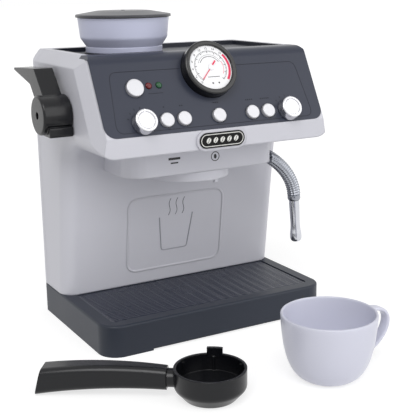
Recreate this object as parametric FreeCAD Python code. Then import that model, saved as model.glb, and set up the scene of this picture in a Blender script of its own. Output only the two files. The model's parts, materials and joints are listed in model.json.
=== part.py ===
import FreeCAD
import Part
import math
import os

# Toy coffee maker with a cup and a portafilter standing in front of it.
# Frame: X to the machine's left-to-right, Y to its back, Z up, origin on the floor
# under the middle of the base. All sizes are in millimetres.

os.makedirs("parts", exist_ok=True)

V = FreeCAD.Vector
UP = V(0, 0, 1)
RIGHT = V(1, 0, 0)
BACK = V(0, 1, 0)

# Fits
fit_gap = 0.2
running_gap = 0.3
bore_gap = 0.1
tiny = 1e-6
sharp = 0
through = 40.0

# Base
base_width = 216.0
base_depth = 144.0
base_height = 27.0
base_front_radius = 17.0
base_rear_radius = 7.0
base_wall = 3.0
base_edge_radius = 2.0
foot_length = 42.0
foot_relief = 2.0
cover_thickness = 2.5
post_radius = 4.0
post_inset = 14.0
screw_radius = 1.4
screw_head_radius = 2.8
screw_head_height = 1.6
screw_end_gap = 1.0
door_screw_head_radius = 1.75

# Drip tray in the front of the base
tray_rim = 11.0
tray_recess = 2.0
tray_plate_thickness = 1.2
tray_rib_pitch = 4.0
tray_rib_width = 1.6
tray_rib_height = 0.6
tray_corner_radius = 5.0

# Battery compartment under the base
cell_radius = 7.1
cell_length = 50.5
cell_count = 3
cell_gap = 0.6
cell_tip_radius = 2.3667
cell_tip_length = 1.5
battery_wall = 1.6
battery_centre_x = 52.0
battery_centre_y = 22.0
door_overlap = 4.0
grip_count = 3
grip_length = 16.0
grip_width = 1.5
grip_depth = 1.0
grip_pitch = 3.0
grip_setback = 14.0

# Loudspeaker over the bottom cover
speaker_radius = 20.0
speaker_height = 12.0
speaker_x = -52.0
speaker_y = 22.0
speaker_rim_width = 2.0
speaker_rim_height = 2.0
speaker_cone_low = 0.8
speaker_cone_high = 3.0
speaker_cone_radius = 8.0
speaker_magnet_radius = 10.0
speaker_magnet_low = 6.6
grille_hole_radius = 1.3
grille_hole_pitch = 5.0
grille_rings = 3

# Housing: column and head
housing_wall = 3.0
column_foot_y = 18.0
column_head_y = 0.0
head_bottom = 163.4
head_top = 240.0
head_front_y = -74.4
panel_bottom_z = 179.6
panel_tilt = 28.0
under_blend_radius = 22.0
side_round_radius = 13.0
top_front_radius = 12.0
back_round_radius = 7.0
front_bevel_width = 6.25
front_bevel_depth = 16.4
top_bevel_width = 9.0
top_bevel_drop = 10.0
rear_cover_depth = 12.0
rear_screw_low = 22.0
rear_screw_drop = 30.0
rear_sink_depth = 5.0
rear_post_radius = 5.0
rear_hole_floor = 2.0
emblem_half_width = 49.0
emblem_bottom = 39.0
emblem_top = 110.0
emblem_radius = 10.0
emblem_line = 1.2
emblem_raise = 0.5

# Dark control panel on the slanted front
panel_half_width = 101.75
panel_thickness = 2.5
panel_corner_radius = 9.5
panel_ledge = 5.0
panel_low_ledge = 2.5
panel_top_strip = 17.0
board_depth = 14.0
board_thickness = 1.6
board_half_width = 92.0
board_bottom = 2.0
board_top = 50.0
board_post_radius = 3.0
board_post_x = 87.0
board_post_low = 22.0
board_post_high = 46.0

# Dark tray in the top
top_tray_half_width = 93.0
top_tray_back_y = 62.0
top_tray_depth = 5.0
top_tray_floor = 1.4
top_tray_rim = 2.0
top_tray_radius = 6.0

# Pressure gauge
gauge_height_on_panel = 50.3
gauge_radius = 23.5
gauge_face_radius = 19.25
gauge_proud = 9.0
gauge_face_drop = 2.0
gauge_sunk = 9.0
dial_thickness = 1.0
gauge_floor = 3.0
gauge_wall = 3.0
gauge_edge_radius = 1.6
gauge_lip_radius = 0.6

# Buttons and lamps on the panel
button_row = 11.0
button_radius = 5.85
button_proud = 3.0
button_travel = 1.5
button_names = ("button_far_left", "button_left", "button_centre", "button_right", "button_far_right")
button_places = (-47.5, -32.0, 0.0, 32.0, 47.5)
power_button_x = -68.5
power_button_row = 39.5
power_button_radius = 7.3
flange_width = 1.4
flange_thickness = 1.5
stem_radius = 2.2
cap_edge_radius = 0.9
switch_size = 6.2
switch_height = 4.0
lamp_row = 41.0
red_lamp_x = -55.8
green_lamp_x = -46.8
lamp_radius = 2.7
lamp_proud = 1.4
lamp_rim_width = 0.6
lamp_rim_thickness = 1.0

# Knobs on the panel
knob_x = 68.0
knob_row = 10.5
knob_radius = 10.0
knob_tip_radius = 9.3
knob_proud = 8.0
knob_edge_radius = 1.2
knob_dish_radius = 7.4
knob_dish_depth = 1.0
knob_shaft_radius = 3.0
knob_collar_radius = 5.5
knob_collar_thickness = 1.5
knob_mark_width = 1.2
knob_mark_depth = 1.0
knob_foot_radius = 0.5
knob_switch_size = 11.0

# Group head under the head
group_half_width = 72.0
group_front_y = -48.0
group_bottom = 139.5
group_corner_radius = 18.0
group_wall = 2.5
collar_centre_y = -10.0
collar_radius = 38.0
collar_bottom = 131.0
socket_centre_y = -19.5
socket_radius = 25.0
lug_x = 9.0
lug_width = 3.4
lug_depth = 2.4
lug_height = 3.0

# Badge on the chin
badge_half_length = 21.0
badge_height = 12.6
badge_centre_z = 171.0
badge_centre_x = -1.0
badge_border = 2.3
badge_backing_thickness = 1.6
badge_plate_thickness = 0.8

# Bean hopper
hopper_x = -46.0
hopper_setback = 2.885
hopper_seat_drop = 1.3
hopper_seat_margin = 1.0
hopper_foot_radius = 32.4
hopper_neck_radius = 32.0
hopper_belly_radius = 36.8
hopper_rim_radius = 38.4
hopper_foot_band = 4.5
hopper_shoulder = 12.0
hopper_height = 28.5
hopper_wall = 2.0
hopper_foot_edge = 0.6
hopper_step = 0.5
hopper_belly_round = 5.0
lid_radius = 40.1
lid_thickness = 2.2
lid_crown = 3.0
lid_plug_depth = 4.0
lid_plug_wall = 1.6
lid_nub_radius = 1.6
lid_nub_height = 0.5
lid_nub_round = 0.4
lid_low_round = 0.5
lid_high_round = 0.8
lid_flat_radius = 22.055
lid_dome_round = 20.0

# Lever on the left side
lever_y = -10.0
lever_z = 193.0
lever_hub_radius = 16.0
lever_hub_length = 24.5
lever_hub_edge = 1.2
lever_side_gap = 0.5
lever_arm_start = 4.0
lever_arm_width = 16.0
lever_pin_radius = 6.0
lever_retainer_radius = 10.0
lever_retainer_thickness = 2.0
lever_screw_hole = 3.0
lever_lug_half_width = 7.8
lever_lug_reach = 23.3
lever_lug_angle = -45.0
lever_root_back = -13.0
lever_root_back_z = 8.0
lever_heel_y = -10.0
lever_heel_z = 17.0
lever_elbow_y = 14.0
lever_elbow_z = 33.5
lever_tip_y = 67.0
lever_tip_z = 31.0
lever_tip_overhang = 0.5
lever_tip_thickness = 2.0
lever_throat_y = 26.0
lever_throat_z = 22.0
lever_root_front = 12.0
lever_root_front_z = 6.0
lever_heel_round = 3.0
lever_elbow_round = 4.0
lever_tip_round = 0.8
lever_throat_round = 6.0

# Steam wand on the right of the group head
wand_y = -33.0
wand_z = 143.0
wand_tube_radius = 4.6
wand_rib_radius = 5.2
wand_rib_count = 22
wand_bend_radius = 48.0
wand_start_slope = 35.0
wand_lead = 9.0
wand_hub_radius = 6.5
wand_hub_length = 4.0
wand_hub_cover = 0.8
wand_pin_radius = 3.0
wand_pin_length = 8.0
wand_collar_radius = 5.6
wand_collar_length = 5.0
nozzle_radius = 4.0
nozzle_waist_radius = 3.7
nozzle_tip_radius = 4.8
nozzle_length = 33.0
nozzle_waist_drop = 18.15
nozzle_swell_drop = 25.74
nozzle_waist_round = 12.0
nozzle_swell_round = 8.0
nozzle_tip_flat = 0.4

# Cup in front of the machine
cup_x = 25.2
cup_y = -187.7
cup_height = 52.5
cup_rim_radius = 36.8
cup_side_radius = 35.7
cup_side_height = 37.0
cup_belly_radius = 29.8
cup_belly_height = 12.6
cup_foot_radius = 14.5
cup_wall = 2.0
cup_handle_angle = 0.0
cup_handle_reach = 19.5
cup_handle_width = 9.0
cup_handle_thickness = 3.0
cup_handle_top = 49.5
cup_handle_bottom = 12.0
cup_handle_round = 11.0
cup_handle_rise = 14.0
cup_handle_lean = 2.0
cup_handle_drop = 1.0

# Portafilter in front of the machine
filter_x = -68.7
filter_y = -170.7
filter_radius = 27.0
filter_height = 23.4
filter_wall = 2.0
filter_floor = 10.0
filter_taper_height = 9.0
filter_foot_radius = 19.0
filter_tab_width = 12.0
filter_tab_height = 5.0
filter_tab_thickness = 2.4
filter_tab_angle = 92.0
filter_rib_count = 6
filter_rib_width = 1.6
filter_rib_depth = 1.0
filter_rib_root = 0.5
filter_rib_drop = 2.0
filter_rib_offset = 30.0
filter_tab_root = 3.0
filter_foot_round = 3.0
filter_side_round = 6.0
handle_direction = 144.1
handle_neck_radius = 7.0
handle_neck_length = 3.7
handle_length = 98.0
handle_root_width = 15.0
handle_end_width = 21.0
handle_root_bottom = 6.0
handle_root_top = 22.6
handle_end_bottom = 0.3
handle_end_top = 20.6
handle_end_slant = 5.0
handle_arch = 2.6
handle_edge_radius = 5.0

# Sizes that follow from the ones above
half_width = base_width / 2
base_front_y = -base_depth / 2
base_back_y = base_depth / 2
panel_cos = math.cos(math.radians(panel_tilt))
panel_sin = math.sin(math.radians(panel_tilt))
panel_length = (head_top - panel_bottom_z) / panel_cos
panel_top_y = head_front_y + panel_length * panel_sin
panel_strip_end_y = panel_top_y + panel_top_strip
hopper_y = panel_strip_end_y + hopper_setback + hopper_foot_radius
panel_normal = V(0, -panel_cos, panel_sin)
panel_up = V(0, panel_sin, panel_cos)
cover_split_y = base_back_y - rear_cover_depth
column_rake = (column_foot_y - column_head_y) / (head_bottom - base_height)


def rounded_wire(corners, radii):
    """Closed flat outline through the corners, each rounded by its own radius."""
    count = len(corners)
    starts = []
    ends = []
    middles = []
    for index in range(count):
        corner = corners[index]
        before = (corners[index - 1] - corner).normalize()
        after = (corners[(index + 1) % count] - corner).normalize()
        half_angle = before.getAngle(after) / 2
        bisector = (before + after).normalize()
        reach = radii[index] / math.tan(half_angle)
        starts.append(corner + before * reach)
        ends.append(corner + after * reach)
        middles.append(corner + bisector * (radii[index] / math.sin(half_angle) - radii[index]))
    edges = []
    for index in range(count):
        following = (index + 1) % count
        if radii[index] > tiny:
            edges.append(Part.Arc(starts[index], middles[index], ends[index]).toShape())
        if starts[following].distanceToPoint(ends[index]) > tiny:
            edges.append(Part.LineSegment(ends[index], starts[following]).toShape())
    return Part.Wire(edges)


def prism(corners, radii, travel):
    """Solid swept straight from a rounded outline."""
    return Part.Face(rounded_wire(corners, radii)).extrude(travel)


def side_prism(outline, radii, x_start, x_end):
    """Solid swept along X from a (y, z) outline."""
    corners = [V(x_start, y, z) for y, z in outline]
    return prism(corners, radii, V(x_end - x_start, 0, 0))


def plan_block(x_low, x_high, y_low, y_high, z_low, z_high, front_radius, back_radius):
    """Upright block with rounded plan corners."""
    corners = [V(x_low, y_low, z_low), V(x_high, y_low, z_low)]
    corners += [V(x_high, y_high, z_low), V(x_low, y_high, z_low)]
    radii = [front_radius, front_radius, back_radius, back_radius]
    return prism(corners, radii, UP * (z_high - z_low))


def box(x_low, x_high, y_low, y_high, z_low, z_high):
    return Part.makeBox(x_high - x_low, y_high - y_low, z_high - z_low, V(x_low, y_low, z_low))


def upright_cylinder(x, y, z_low, z_high, radius):
    return Part.makeCylinder(radius, z_high - z_low, V(x, y, z_low), UP)


def turned(profile, radii=None):
    """Solid turned about the Z axis from a closed (radius, height) outline."""
    corners = [V(radius, 0, height) for radius, height in profile]
    rounding = radii if radii else [0] * len(corners)
    return Part.Face(rounded_wire(corners, rounding)).revolve(V(0, 0, 0), UP, 360)


def moved(shape, x, y, z):
    copy = shape.copy()
    copy.translate(V(x, y, z))
    return copy


def on_panel(shape, x, row):
    """Shape drawn with Z out of the panel and Y up its slope, put at its place there."""
    copy = shape.copy()
    copy.rotate(V(0, 0, 0), RIGHT, 90 - panel_tilt)
    place = V(x, head_front_y, panel_bottom_z) + panel_up * row
    copy.translate(place)
    return copy


def fuse_all(shapes):
    first = shapes[0]
    if len(shapes) > 1:
        first = first.fuse(shapes[1:])
    return first.removeSplitter()


def edges_where(shape, test):
    return [edge for edge in shape.Edges if test(edge)]


def save(name, shape):
    shape.exportStep(os.path.join("parts", name + ".step"))
    print(name, len(shape.Solids), round(shape.Volume / 1000, 2), "cm3", shape.isValid())


def side_bevel_tools(inset):
    """Wedges that cut the slanted bevels of the head on both sides, moved in by an inset."""
    run = math.hypot(front_bevel_width, front_bevel_depth)
    along = V(front_bevel_width / run, 0, -front_bevel_depth / run)
    inward = V(-front_bevel_depth / run, 0, -front_bevel_width / run)
    start = V(panel_half_width, 0, 0) + inward * inset
    reach = 4 * front_bevel_depth
    outside = start - inward * reach
    triangle = [start - along * reach, start + along * reach, outside]
    front = prism([corner - V(0, reach, 0) for corner in triangle], [0, 0, 0], BACK * 4 * reach)
    front = on_panel(front, 0, 0)
    slope = math.hypot(top_bevel_width, top_bevel_drop)
    drop = V(top_bevel_width / slope, 0, -top_bevel_drop / slope)
    inner = V(-top_bevel_drop / slope, 0, -top_bevel_width / slope)
    crest = V(half_width, head_front_y - reach, head_top - top_bevel_drop) + inner * inset
    wedge = [crest - drop * reach, crest + drop * reach, crest - inner * reach]
    top = prism(wedge, [0, 0, 0], BACK * (base_depth + 3 * reach))
    tools = []
    for tool in (front, top):
        tools.append(tool)
        tools.append(tool.mirror(V(0, 0, 0), RIGHT))
    return tools


def inset_outline(corners, insets):
    """A (y, z) outline, drawn anticlockwise, with each side moved inwards by its own inset."""
    count = len(corners)
    lines = []
    for index in range(count):
        y_start, z_start = corners[index]
        y_end, z_end = corners[(index + 1) % count]
        length = math.hypot(y_end - y_start, z_end - z_start)
        direction = ((y_end - y_start) / length, (z_end - z_start) / length)
        shift = insets[index]
        lines.append((y_start - direction[1] * shift, z_start + direction[0] * shift, direction))
    moved_corners = []
    for index in range(count):
        y_one, z_one, one = lines[index - 1]
        y_two, z_two, two = lines[index]
        cross = one[0] * two[1] - one[1] * two[0]
        step = ((y_two - y_one) * two[1] - (z_two - z_one) * two[0]) / cross
        moved_corners.append((y_one + one[0] * step, z_one + one[1] * step))
    return moved_corners


def housing_outline(wall, front_wall, top_wall):
    """Side outline of column and head inside a wall, which is thicker under panel and tray."""
    corners = [(column_foot_y, base_height), (base_back_y, base_height), (base_back_y, head_top)]
    corners += [(panel_top_y, head_top), (head_front_y, panel_bottom_z)]
    corners += [(head_front_y, head_bottom), (column_head_y, head_bottom)]
    insets = [0, wall, top_wall, front_wall, wall, wall, wall]
    return inset_outline(corners, insets)


def housing_block(wall, front_wall, top_wall):
    """Column and head as one block, drawn inside a wall."""
    outline = housing_outline(wall, front_wall, top_wall)
    front_round = top_front_radius - front_wall
    radii = [0, 0, 0, front_round, 0, 0, under_blend_radius + wall]
    side = half_width - wall
    block = side_prism(outline, radii, -side, side)
    sharp_z = outline[5][1]

    def is_soft_side(edge):
        middle = edge.valueAt((edge.FirstParameter + edge.LastParameter) / 2)
        on_side = abs(abs(middle.x) - side) < tiny and edge.BoundBox.XLength < tiny
        on_foot = edge.BoundBox.ZLength < tiny and abs(middle.z - base_height) < tiny
        low = edge.BoundBox.ZMax < sharp_z + tiny
        behind = abs(middle.y - outline[1][0]) < tiny
        return on_side and low and not on_foot and not behind

    def is_back_side(edge):
        middle = edge.valueAt((edge.FirstParameter + edge.LastParameter) / 2)
        upright = edge.BoundBox.XLength + edge.BoundBox.YLength < tiny
        return upright and abs(middle.y - outline[1][0]) < tiny

    block = block.makeFillet(side_round_radius - wall, edges_where(block, is_soft_side))
    block = block.makeFillet(back_round_radius - wall, edges_where(block, is_back_side))
    return block.cut(side_bevel_tools(wall))


def control_panel_blank(thickness):
    """Dark cover of the slanted front that wraps over into a strip of the top."""
    outer = [(head_front_y, panel_bottom_z), (panel_strip_end_y, head_top)]
    low = V(0, head_front_y, panel_bottom_z) - panel_normal * thickness
    shift = thickness * math.tan(math.radians((90 - panel_tilt) / 2))
    outline = [outer[0], (low.y, low.z), (panel_top_y + shift, head_top - thickness)]
    outline += [(panel_strip_end_y, head_top - thickness), outer[1], (panel_top_y, head_top)]
    radii = [0, 0, top_front_radius - thickness, 0, 0, top_front_radius]
    blank = side_prism(outline, radii, -panel_half_width, panel_half_width)

    def is_low_corner(edge):
        along = edge.valueAt(edge.LastParameter) - edge.valueAt(edge.FirstParameter)
        return edge.BoundBox.ZMax < panel_bottom_z + tiny and abs(along.x) < tiny

    blank = blank.makeFillet(panel_corner_radius, edges_where(blank, is_low_corner))
    return blank.cut(side_bevel_tools(0))


def gauge_bore(radius, front, back):
    """Cylinder on the gauge's axis, from a height in front of the panel to a depth behind it."""
    cylinder = Part.makeCylinder(radius, front + back, V(0, 0, -back), UP)
    return on_panel(cylinder, 0, gauge_height_on_panel)


def top_tray_pocket():
    return plan_block(-top_tray_half_width, top_tray_half_width, panel_strip_end_y, top_tray_back_y,
                      head_top - top_tray_depth, head_top, sharp, top_tray_radius)


def make_base_tray():
    body = plan_block(-half_width, half_width, base_front_y, base_back_y, 0, base_height,
                      base_front_radius, base_rear_radius)

    def is_top_rim(edge):
        return edge.BoundBox.ZMin > base_height - tiny

    body = body.makeFillet(base_edge_radius, edges_where(body, is_top_rim))
    hollow = plan_block(-half_width + base_wall, half_width - base_wall, base_front_y + base_wall,
                        base_back_y - base_wall, -tiny, base_height - tray_recess - base_wall,
                        base_front_radius - base_wall, base_rear_radius - base_wall)
    body = body.cut(hollow)
    relief = box(-half_width + foot_length, half_width - foot_length, base_front_y - tiny,
                 base_front_y + base_wall + tiny, -tiny, foot_relief)
    body = body.cut([relief, tray_pocket(0)])
    posts = [upright_cylinder(x, y, cover_thickness, base_height - tray_recess - tiny, post_radius)
             for x, y in post_places()]
    holes = [upright_cylinder(x, y, cover_thickness - tiny, cover_thickness + post_inset / 2, screw_radius)
             for x, y in post_places()]
    return fuse_all([body] + posts).cut(holes)


def post_places():
    x = half_width - post_inset
    y = base_depth / 2 - post_inset
    return [(-x, -y), (x, -y), (-x, y), (x, y)]


def tray_pocket(gap):
    return plan_block(-half_width + tray_rim + gap, half_width - tray_rim - gap,
                      base_front_y + tray_rim + gap, column_foot_y - gap,
                      base_height - tray_recess, base_height + base_wall,
                      tray_corner_radius, sharp)


def make_drip_plate():
    """Plate with rows of small ribs across the width."""
    x_end = half_width - tray_rim - fit_gap
    y_start = base_front_y + tray_rim + fit_gap
    y_end = column_foot_y - fit_gap
    floor = base_height - tray_recess
    plate = plan_block(-x_end, x_end, y_start, y_end, floor, floor + tray_plate_thickness,
                       tray_corner_radius, sharp)
    ribs = []
    count = int((y_end - y_start - 2 * tray_corner_radius) / tray_rib_pitch)
    for index in range(count + 1):
        y = y_start + tray_corner_radius + index * tray_rib_pitch
        ribs.append(box(-x_end + tray_corner_radius, x_end - tray_corner_radius, y - tray_rib_width / 2,
                        y + tray_rib_width / 2, floor + tray_plate_thickness - tiny,
                        floor + tray_plate_thickness + tray_rib_height))
    return fuse_all([plate] + ribs)


def battery_size():
    width = cell_length + 2 * cell_gap
    depth = cell_count * (2 * cell_radius + cell_gap) + cell_gap
    return width, depth


def door_block(gap, z_low, z_high):
    width, depth = battery_size()
    x = width / 2 + battery_wall + gap
    y = depth / 2 + battery_wall + door_overlap + gap
    return box(battery_centre_x - x, battery_centre_x + x, battery_centre_y - y,
               battery_centre_y + y, z_low, z_high)


def door_screw_place():
    width, depth = battery_size()
    return battery_centre_x, battery_centre_y - depth / 2 - battery_wall - door_overlap / 2


def make_bottom_cover():
    inset = base_wall + fit_gap
    cover = plan_block(-half_width + inset, half_width - inset, base_front_y + inset,
                       base_back_y - inset, 0, cover_thickness,
                       base_front_radius - inset, base_rear_radius - inset)
    cuts = [door_block(fit_gap, -tiny, cover_thickness + tiny)]
    for x, y in post_places():
        cuts.append(upright_cylinder(x, y, -tiny, cover_thickness + tiny, screw_radius + bore_gap))
        cuts.append(upright_cylinder(x, y, -tiny, screw_head_height, screw_head_radius + bore_gap))
    for x, y in grille_places():
        cuts.append(upright_cylinder(x, y, -tiny, cover_thickness + tiny, grille_hole_radius))
    return cover.cut(cuts)


def grille_places():
    """Hexagonal pattern of sound holes under the loudspeaker."""
    places = [(speaker_x, speaker_y)]
    for ring in range(1, grille_rings + 1):
        for index in range(6 * ring):
            angle = 2 * math.pi * index / (6 * ring)
            places.append((speaker_x + ring * grille_hole_pitch * math.cos(angle),
                           speaker_y + ring * grille_hole_pitch * math.sin(angle)))
    return places


def make_cover_screws():
    screw = turned([(0, 0), (screw_head_radius, 0), (screw_head_radius, screw_head_height - bore_gap),
                    (screw_radius - bore_gap, screw_head_height - bore_gap),
                    (screw_radius - bore_gap, cover_thickness + post_inset / 2 - bore_gap),
                    (0, cover_thickness + post_inset / 2 - bore_gap)])
    return Part.Compound([moved(screw, x, y, 0) for x, y in post_places()])


def make_battery_box():
    """Open tray for the cells with two end walls for the contacts."""
    width, depth = battery_size()
    x = width / 2 + battery_wall
    y = depth / 2 + battery_wall
    height = 2 * cell_radius + cell_gap
    outer = box(battery_centre_x - x, battery_centre_x + x, battery_centre_y - y, battery_centre_y + y,
                cover_thickness, cover_thickness + height + battery_wall)
    inner = box(battery_centre_x - width / 2, battery_centre_x + width / 2,
                battery_centre_y - depth / 2, battery_centre_y + depth / 2,
                cover_thickness - tiny, cover_thickness + height)
    screw_x, screw_y = door_screw_place()
    ear = box(screw_x - door_overlap, screw_x + door_overlap,
              battery_centre_y - depth / 2 - battery_wall - door_overlap,
              battery_centre_y - depth / 2 - battery_wall, cover_thickness, cover_thickness + post_inset / 2)
    hole = upright_cylinder(screw_x, screw_y, 0, cover_thickness + post_inset / 2 + tiny, screw_radius)
    return fuse_all([outer.cut(inner), ear]).cut(hole)


def make_battery_cells():
    width, depth = battery_size()
    cells = []
    for index in range(cell_count):
        y = battery_centre_y - depth / 2 + cell_gap + cell_radius + index * (2 * cell_radius + cell_gap)
        start = V(battery_centre_x - cell_length / 2, y, cover_thickness + cell_radius + cell_gap / 2)
        body_length = cell_length - cell_tip_length
        body = Part.makeCylinder(cell_radius, body_length, start, RIGHT)
        tip = Part.makeCylinder(cell_tip_radius, cell_tip_length, start + RIGHT * body_length, RIGHT)
        cells.append(body.fuse(tip).removeSplitter())
    return Part.Compound(cells)


def make_battery_door():
    door = door_block(0, 0, cover_thickness)
    screw_x, screw_y = door_screw_place()
    hole = upright_cylinder(screw_x, screw_y, -tiny, cover_thickness + tiny, screw_radius + bore_gap)
    sink = upright_cylinder(screw_x, screw_y, -tiny, screw_head_height, door_screw_head_radius)
    half = grip_length / 2
    grip = box(battery_centre_x - half, battery_centre_x + half, battery_centre_y + grip_setback,
               battery_centre_y + grip_setback + grip_width, -tiny, grip_depth)
    grips = [moved(grip, 0, index * grip_pitch, 0) for index in range(grip_count)]
    return door.cut([hole, sink] + grips)


def make_battery_door_screw():
    screw_x, screw_y = door_screw_place()
    head = door_screw_head_radius - bore_gap
    end = cover_thickness + post_inset / 2 - screw_end_gap
    screw = turned([(0, 0), (head, 0), (head, screw_head_height - bore_gap),
                    (screw_radius - bore_gap, screw_head_height - bore_gap),
                    (screw_radius - bore_gap, end), (0, end)])
    return moved(screw, screw_x, screw_y, 0)


def make_speaker():
    """Small loudspeaker with its frame, cone dish and magnet, standing on the bottom cover."""
    inside = speaker_radius - speaker_rim_width
    profile = [(0, speaker_cone_high), (speaker_cone_radius, speaker_cone_high), (inside, speaker_cone_low),
               (inside, 0), (speaker_radius, 0), (speaker_radius, speaker_rim_height),
               (speaker_magnet_radius, speaker_magnet_low), (speaker_magnet_radius, speaker_height),
               (0, speaker_height)]
    return moved(turned(profile), speaker_x, speaker_y, cover_thickness)


def lever_bore(radius):
    start = V(-half_width - through, lever_y, lever_z)
    return Part.makeCylinder(radius, 2 * through, start, RIGHT)


def make_housing():
    """Hollow body of column and head, still in one piece before it is split."""
    under_panel = housing_wall + panel_thickness
    under_tray = housing_wall + top_tray_depth
    shell = housing_block(0, 0, 0).cut(housing_block(housing_wall, under_panel, under_tray))
    window = box(-panel_half_width + panel_ledge, panel_half_width - panel_ledge, panel_low_ledge,
                 panel_length - top_front_radius, -2 * panel_thickness - housing_wall, through)
    cuts = [control_panel_blank(panel_thickness), on_panel(window, 0, 0), top_tray_pocket(),
            gauge_bore(gauge_radius + fit_gap, through, gauge_sunk + fit_gap),
            lever_bore(lever_pin_radius + bore_gap)]
    shell = shell.cut(cuts)
    shell = max(shell.Solids, key=lambda solid: solid.Volume)
    return fuse_all([shell, emblem_ridge()])


def emblem_ridge():
    """Raised rounded outline on the raked front of the column."""
    lean = math.degrees(math.atan(column_rake))
    cos_lean = math.cos(math.radians(lean))
    low = (emblem_bottom - base_height) / cos_lean
    high = (emblem_top - base_height) / cos_lean
    outer = plan_block(-emblem_half_width, emblem_half_width, low, high, -emblem_raise, emblem_raise,
                       emblem_radius, emblem_radius)
    inner = plan_block(-emblem_half_width + emblem_line, emblem_half_width - emblem_line,
                       low + emblem_line, high - emblem_line, -through, through,
                       emblem_radius - emblem_line, emblem_radius - emblem_line)
    ridge = outer.cut(inner)
    ridge.rotate(V(0, 0, 0), RIGHT, 90 + lean)
    ridge.translate(V(0, column_foot_y, base_height))
    return ridge


def half_space(y_low, y_high):
    return box(-half_width - through, half_width + through, y_low, y_high, -through, head_top + through)


def cover_screw_places():
    x = half_width - post_inset
    low = base_height + rear_screw_low
    high = head_top - rear_screw_drop
    return [(-x, low), (x, low), (-x, high), (x, high)]


def along_y(profile, x, y, z):
    """Turned part whose axis points to the back."""
    shape = turned(profile)
    shape.rotate(V(0, 0, 0), RIGHT, -90)
    shape.translate(V(x, y, z))
    return shape


def make_housing_shell(housing):
    """Front part of the housing with the posts that take the rear cover's screws."""
    front = housing.common(half_space(-base_depth, cover_split_y))
    parts = [max(front.Solids, key=lambda solid: solid.Volume)]
    post = [(0, -post_inset), (post_radius, -post_inset), (post_radius, 0), (0, 0)]
    hole_end = -post_inset + rear_hole_floor
    hole = [(0, hole_end), (screw_radius, hole_end), (screw_radius, tiny), (0, tiny)]
    holes = []
    for x, z in cover_screw_places():
        parts.append(along_y(post, x, cover_split_y, z))
        outward = math.copysign(1, x)
        x_edges = sorted([x, outward * (half_width - housing_wall + tiny)])
        parts.append(box(x_edges[0], x_edges[1], cover_split_y - post_inset, cover_split_y,
                         z - screw_radius, z + screw_radius))
        holes.append(along_y(hole, x, cover_split_y, z))
    wand_start = V(group_half_width - wand_pin_length - fit_gap, wand_y, wand_z)
    socket = Part.makeCylinder(wand_pin_radius + bore_gap, wand_pin_length + through, wand_start, RIGHT)
    return fuse_all(parts).cut(holes + [socket])


def make_rear_cover(housing):
    """Rear part of the housing with its sunk screw holes and posts."""
    back = housing.common(half_space(cover_split_y, base_depth))
    parts = [max(back.Solids, key=lambda solid: solid.Volume)]
    depth = rear_cover_depth
    sink_floor = depth - rear_sink_depth
    head = screw_head_radius + bore_gap
    shank = screw_radius + bore_gap
    post = [(0, 0), (rear_post_radius, 0), (rear_post_radius, depth - tiny), (0, depth - tiny)]
    sink = [(0, sink_floor), (head, sink_floor), (head, depth + tiny), (0, depth + tiny)]
    hole = [(0, -tiny), (shank, -tiny), (shank, depth), (0, depth)]
    cuts = []
    for x, z in cover_screw_places():
        parts.append(along_y(post, x, cover_split_y, z))
        cuts.append(along_y(sink, x, cover_split_y, z))
        cuts.append(along_y(hole, x, cover_split_y, z))
    return fuse_all(parts).cut(cuts)


def make_rear_cover_screws():
    depth = rear_cover_depth
    head_low = depth - rear_sink_depth + bore_gap
    tip = -post_inset + rear_hole_floor + screw_end_gap
    shank = screw_radius - bore_gap
    screw = [(0, tip), (shank, tip), (shank, head_low), (screw_head_radius, head_low),
             (screw_head_radius, head_low + screw_head_height), (0, head_low + screw_head_height)]
    return Part.Compound([along_y(screw, x, cover_split_y, z) for x, z in cover_screw_places()])


def panel_hole(x, row, radius):
    hole = Part.makeCylinder(radius, 2 * through, V(0, 0, -through), UP)
    return on_panel(hole, x, row)


def make_control_panel():
    panel = control_panel_blank(panel_thickness)
    cuts = [gauge_bore(gauge_radius + fit_gap, through, gauge_sunk)]
    for x in button_places:
        cuts.append(panel_hole(x, button_row, button_radius + running_gap))
    cuts.append(panel_hole(power_button_x, power_button_row, power_button_radius + running_gap))
    for x in (red_lamp_x, green_lamp_x):
        cuts.append(panel_hole(x, lamp_row, lamp_radius + bore_gap))
    for x in (-knob_x, knob_x):
        cuts.append(panel_hole(x, knob_row, knob_shaft_radius + bore_gap))
    posts = []
    for x in (-board_post_x, board_post_x):
        for row in (board_post_low, board_post_high):
            post = Part.makeCylinder(board_post_radius, board_depth - panel_thickness,
                                     V(0, 0, -board_depth), UP)
            posts.append(on_panel(post, x, row))
    return fuse_all([panel.cut(cuts)] + posts)


def make_circuit_board():
    board = box(-board_half_width, board_half_width, board_bottom, board_top,
                -board_depth - board_thickness, -board_depth)
    return on_panel(board, 0, 0)


def switch_block(size, height):
    return box(-size / 2, size / 2, -size / 2, size / 2, -board_depth, -board_depth + height)


def make_tact_switches():
    block = switch_block(switch_size, switch_height)
    blocks = [on_panel(block, x, button_row) for x in button_places]
    blocks.append(on_panel(block, power_button_x, power_button_row))
    return Part.Compound(blocks)


def make_knob_switches():
    block = switch_block(knob_switch_size, knob_switch_height())
    return Part.Compound([on_panel(block, x, knob_row) for x in (-knob_x, knob_x)])


def knob_switch_height():
    return board_depth - panel_thickness - running_gap - knob_collar_thickness - running_gap


def make_lamp(x):
    """Round lamp with a domed tip and a rim behind the panel, on the board."""
    rim_top = -panel_thickness
    lens = [(0, -board_depth), (lamp_radius, -board_depth), (lamp_radius, lamp_proud), (0, lamp_proud)]
    radii = [0, 0, lamp_proud, 0]
    rim_radius = lamp_radius + lamp_rim_width
    rim_low = rim_top - lamp_rim_thickness
    rim = [(0, rim_low), (rim_radius, rim_low), (rim_radius, rim_top), (0, rim_top)]
    return on_panel(fuse_all([turned(lens, radii), turned(rim)]), x, lamp_row)


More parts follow.
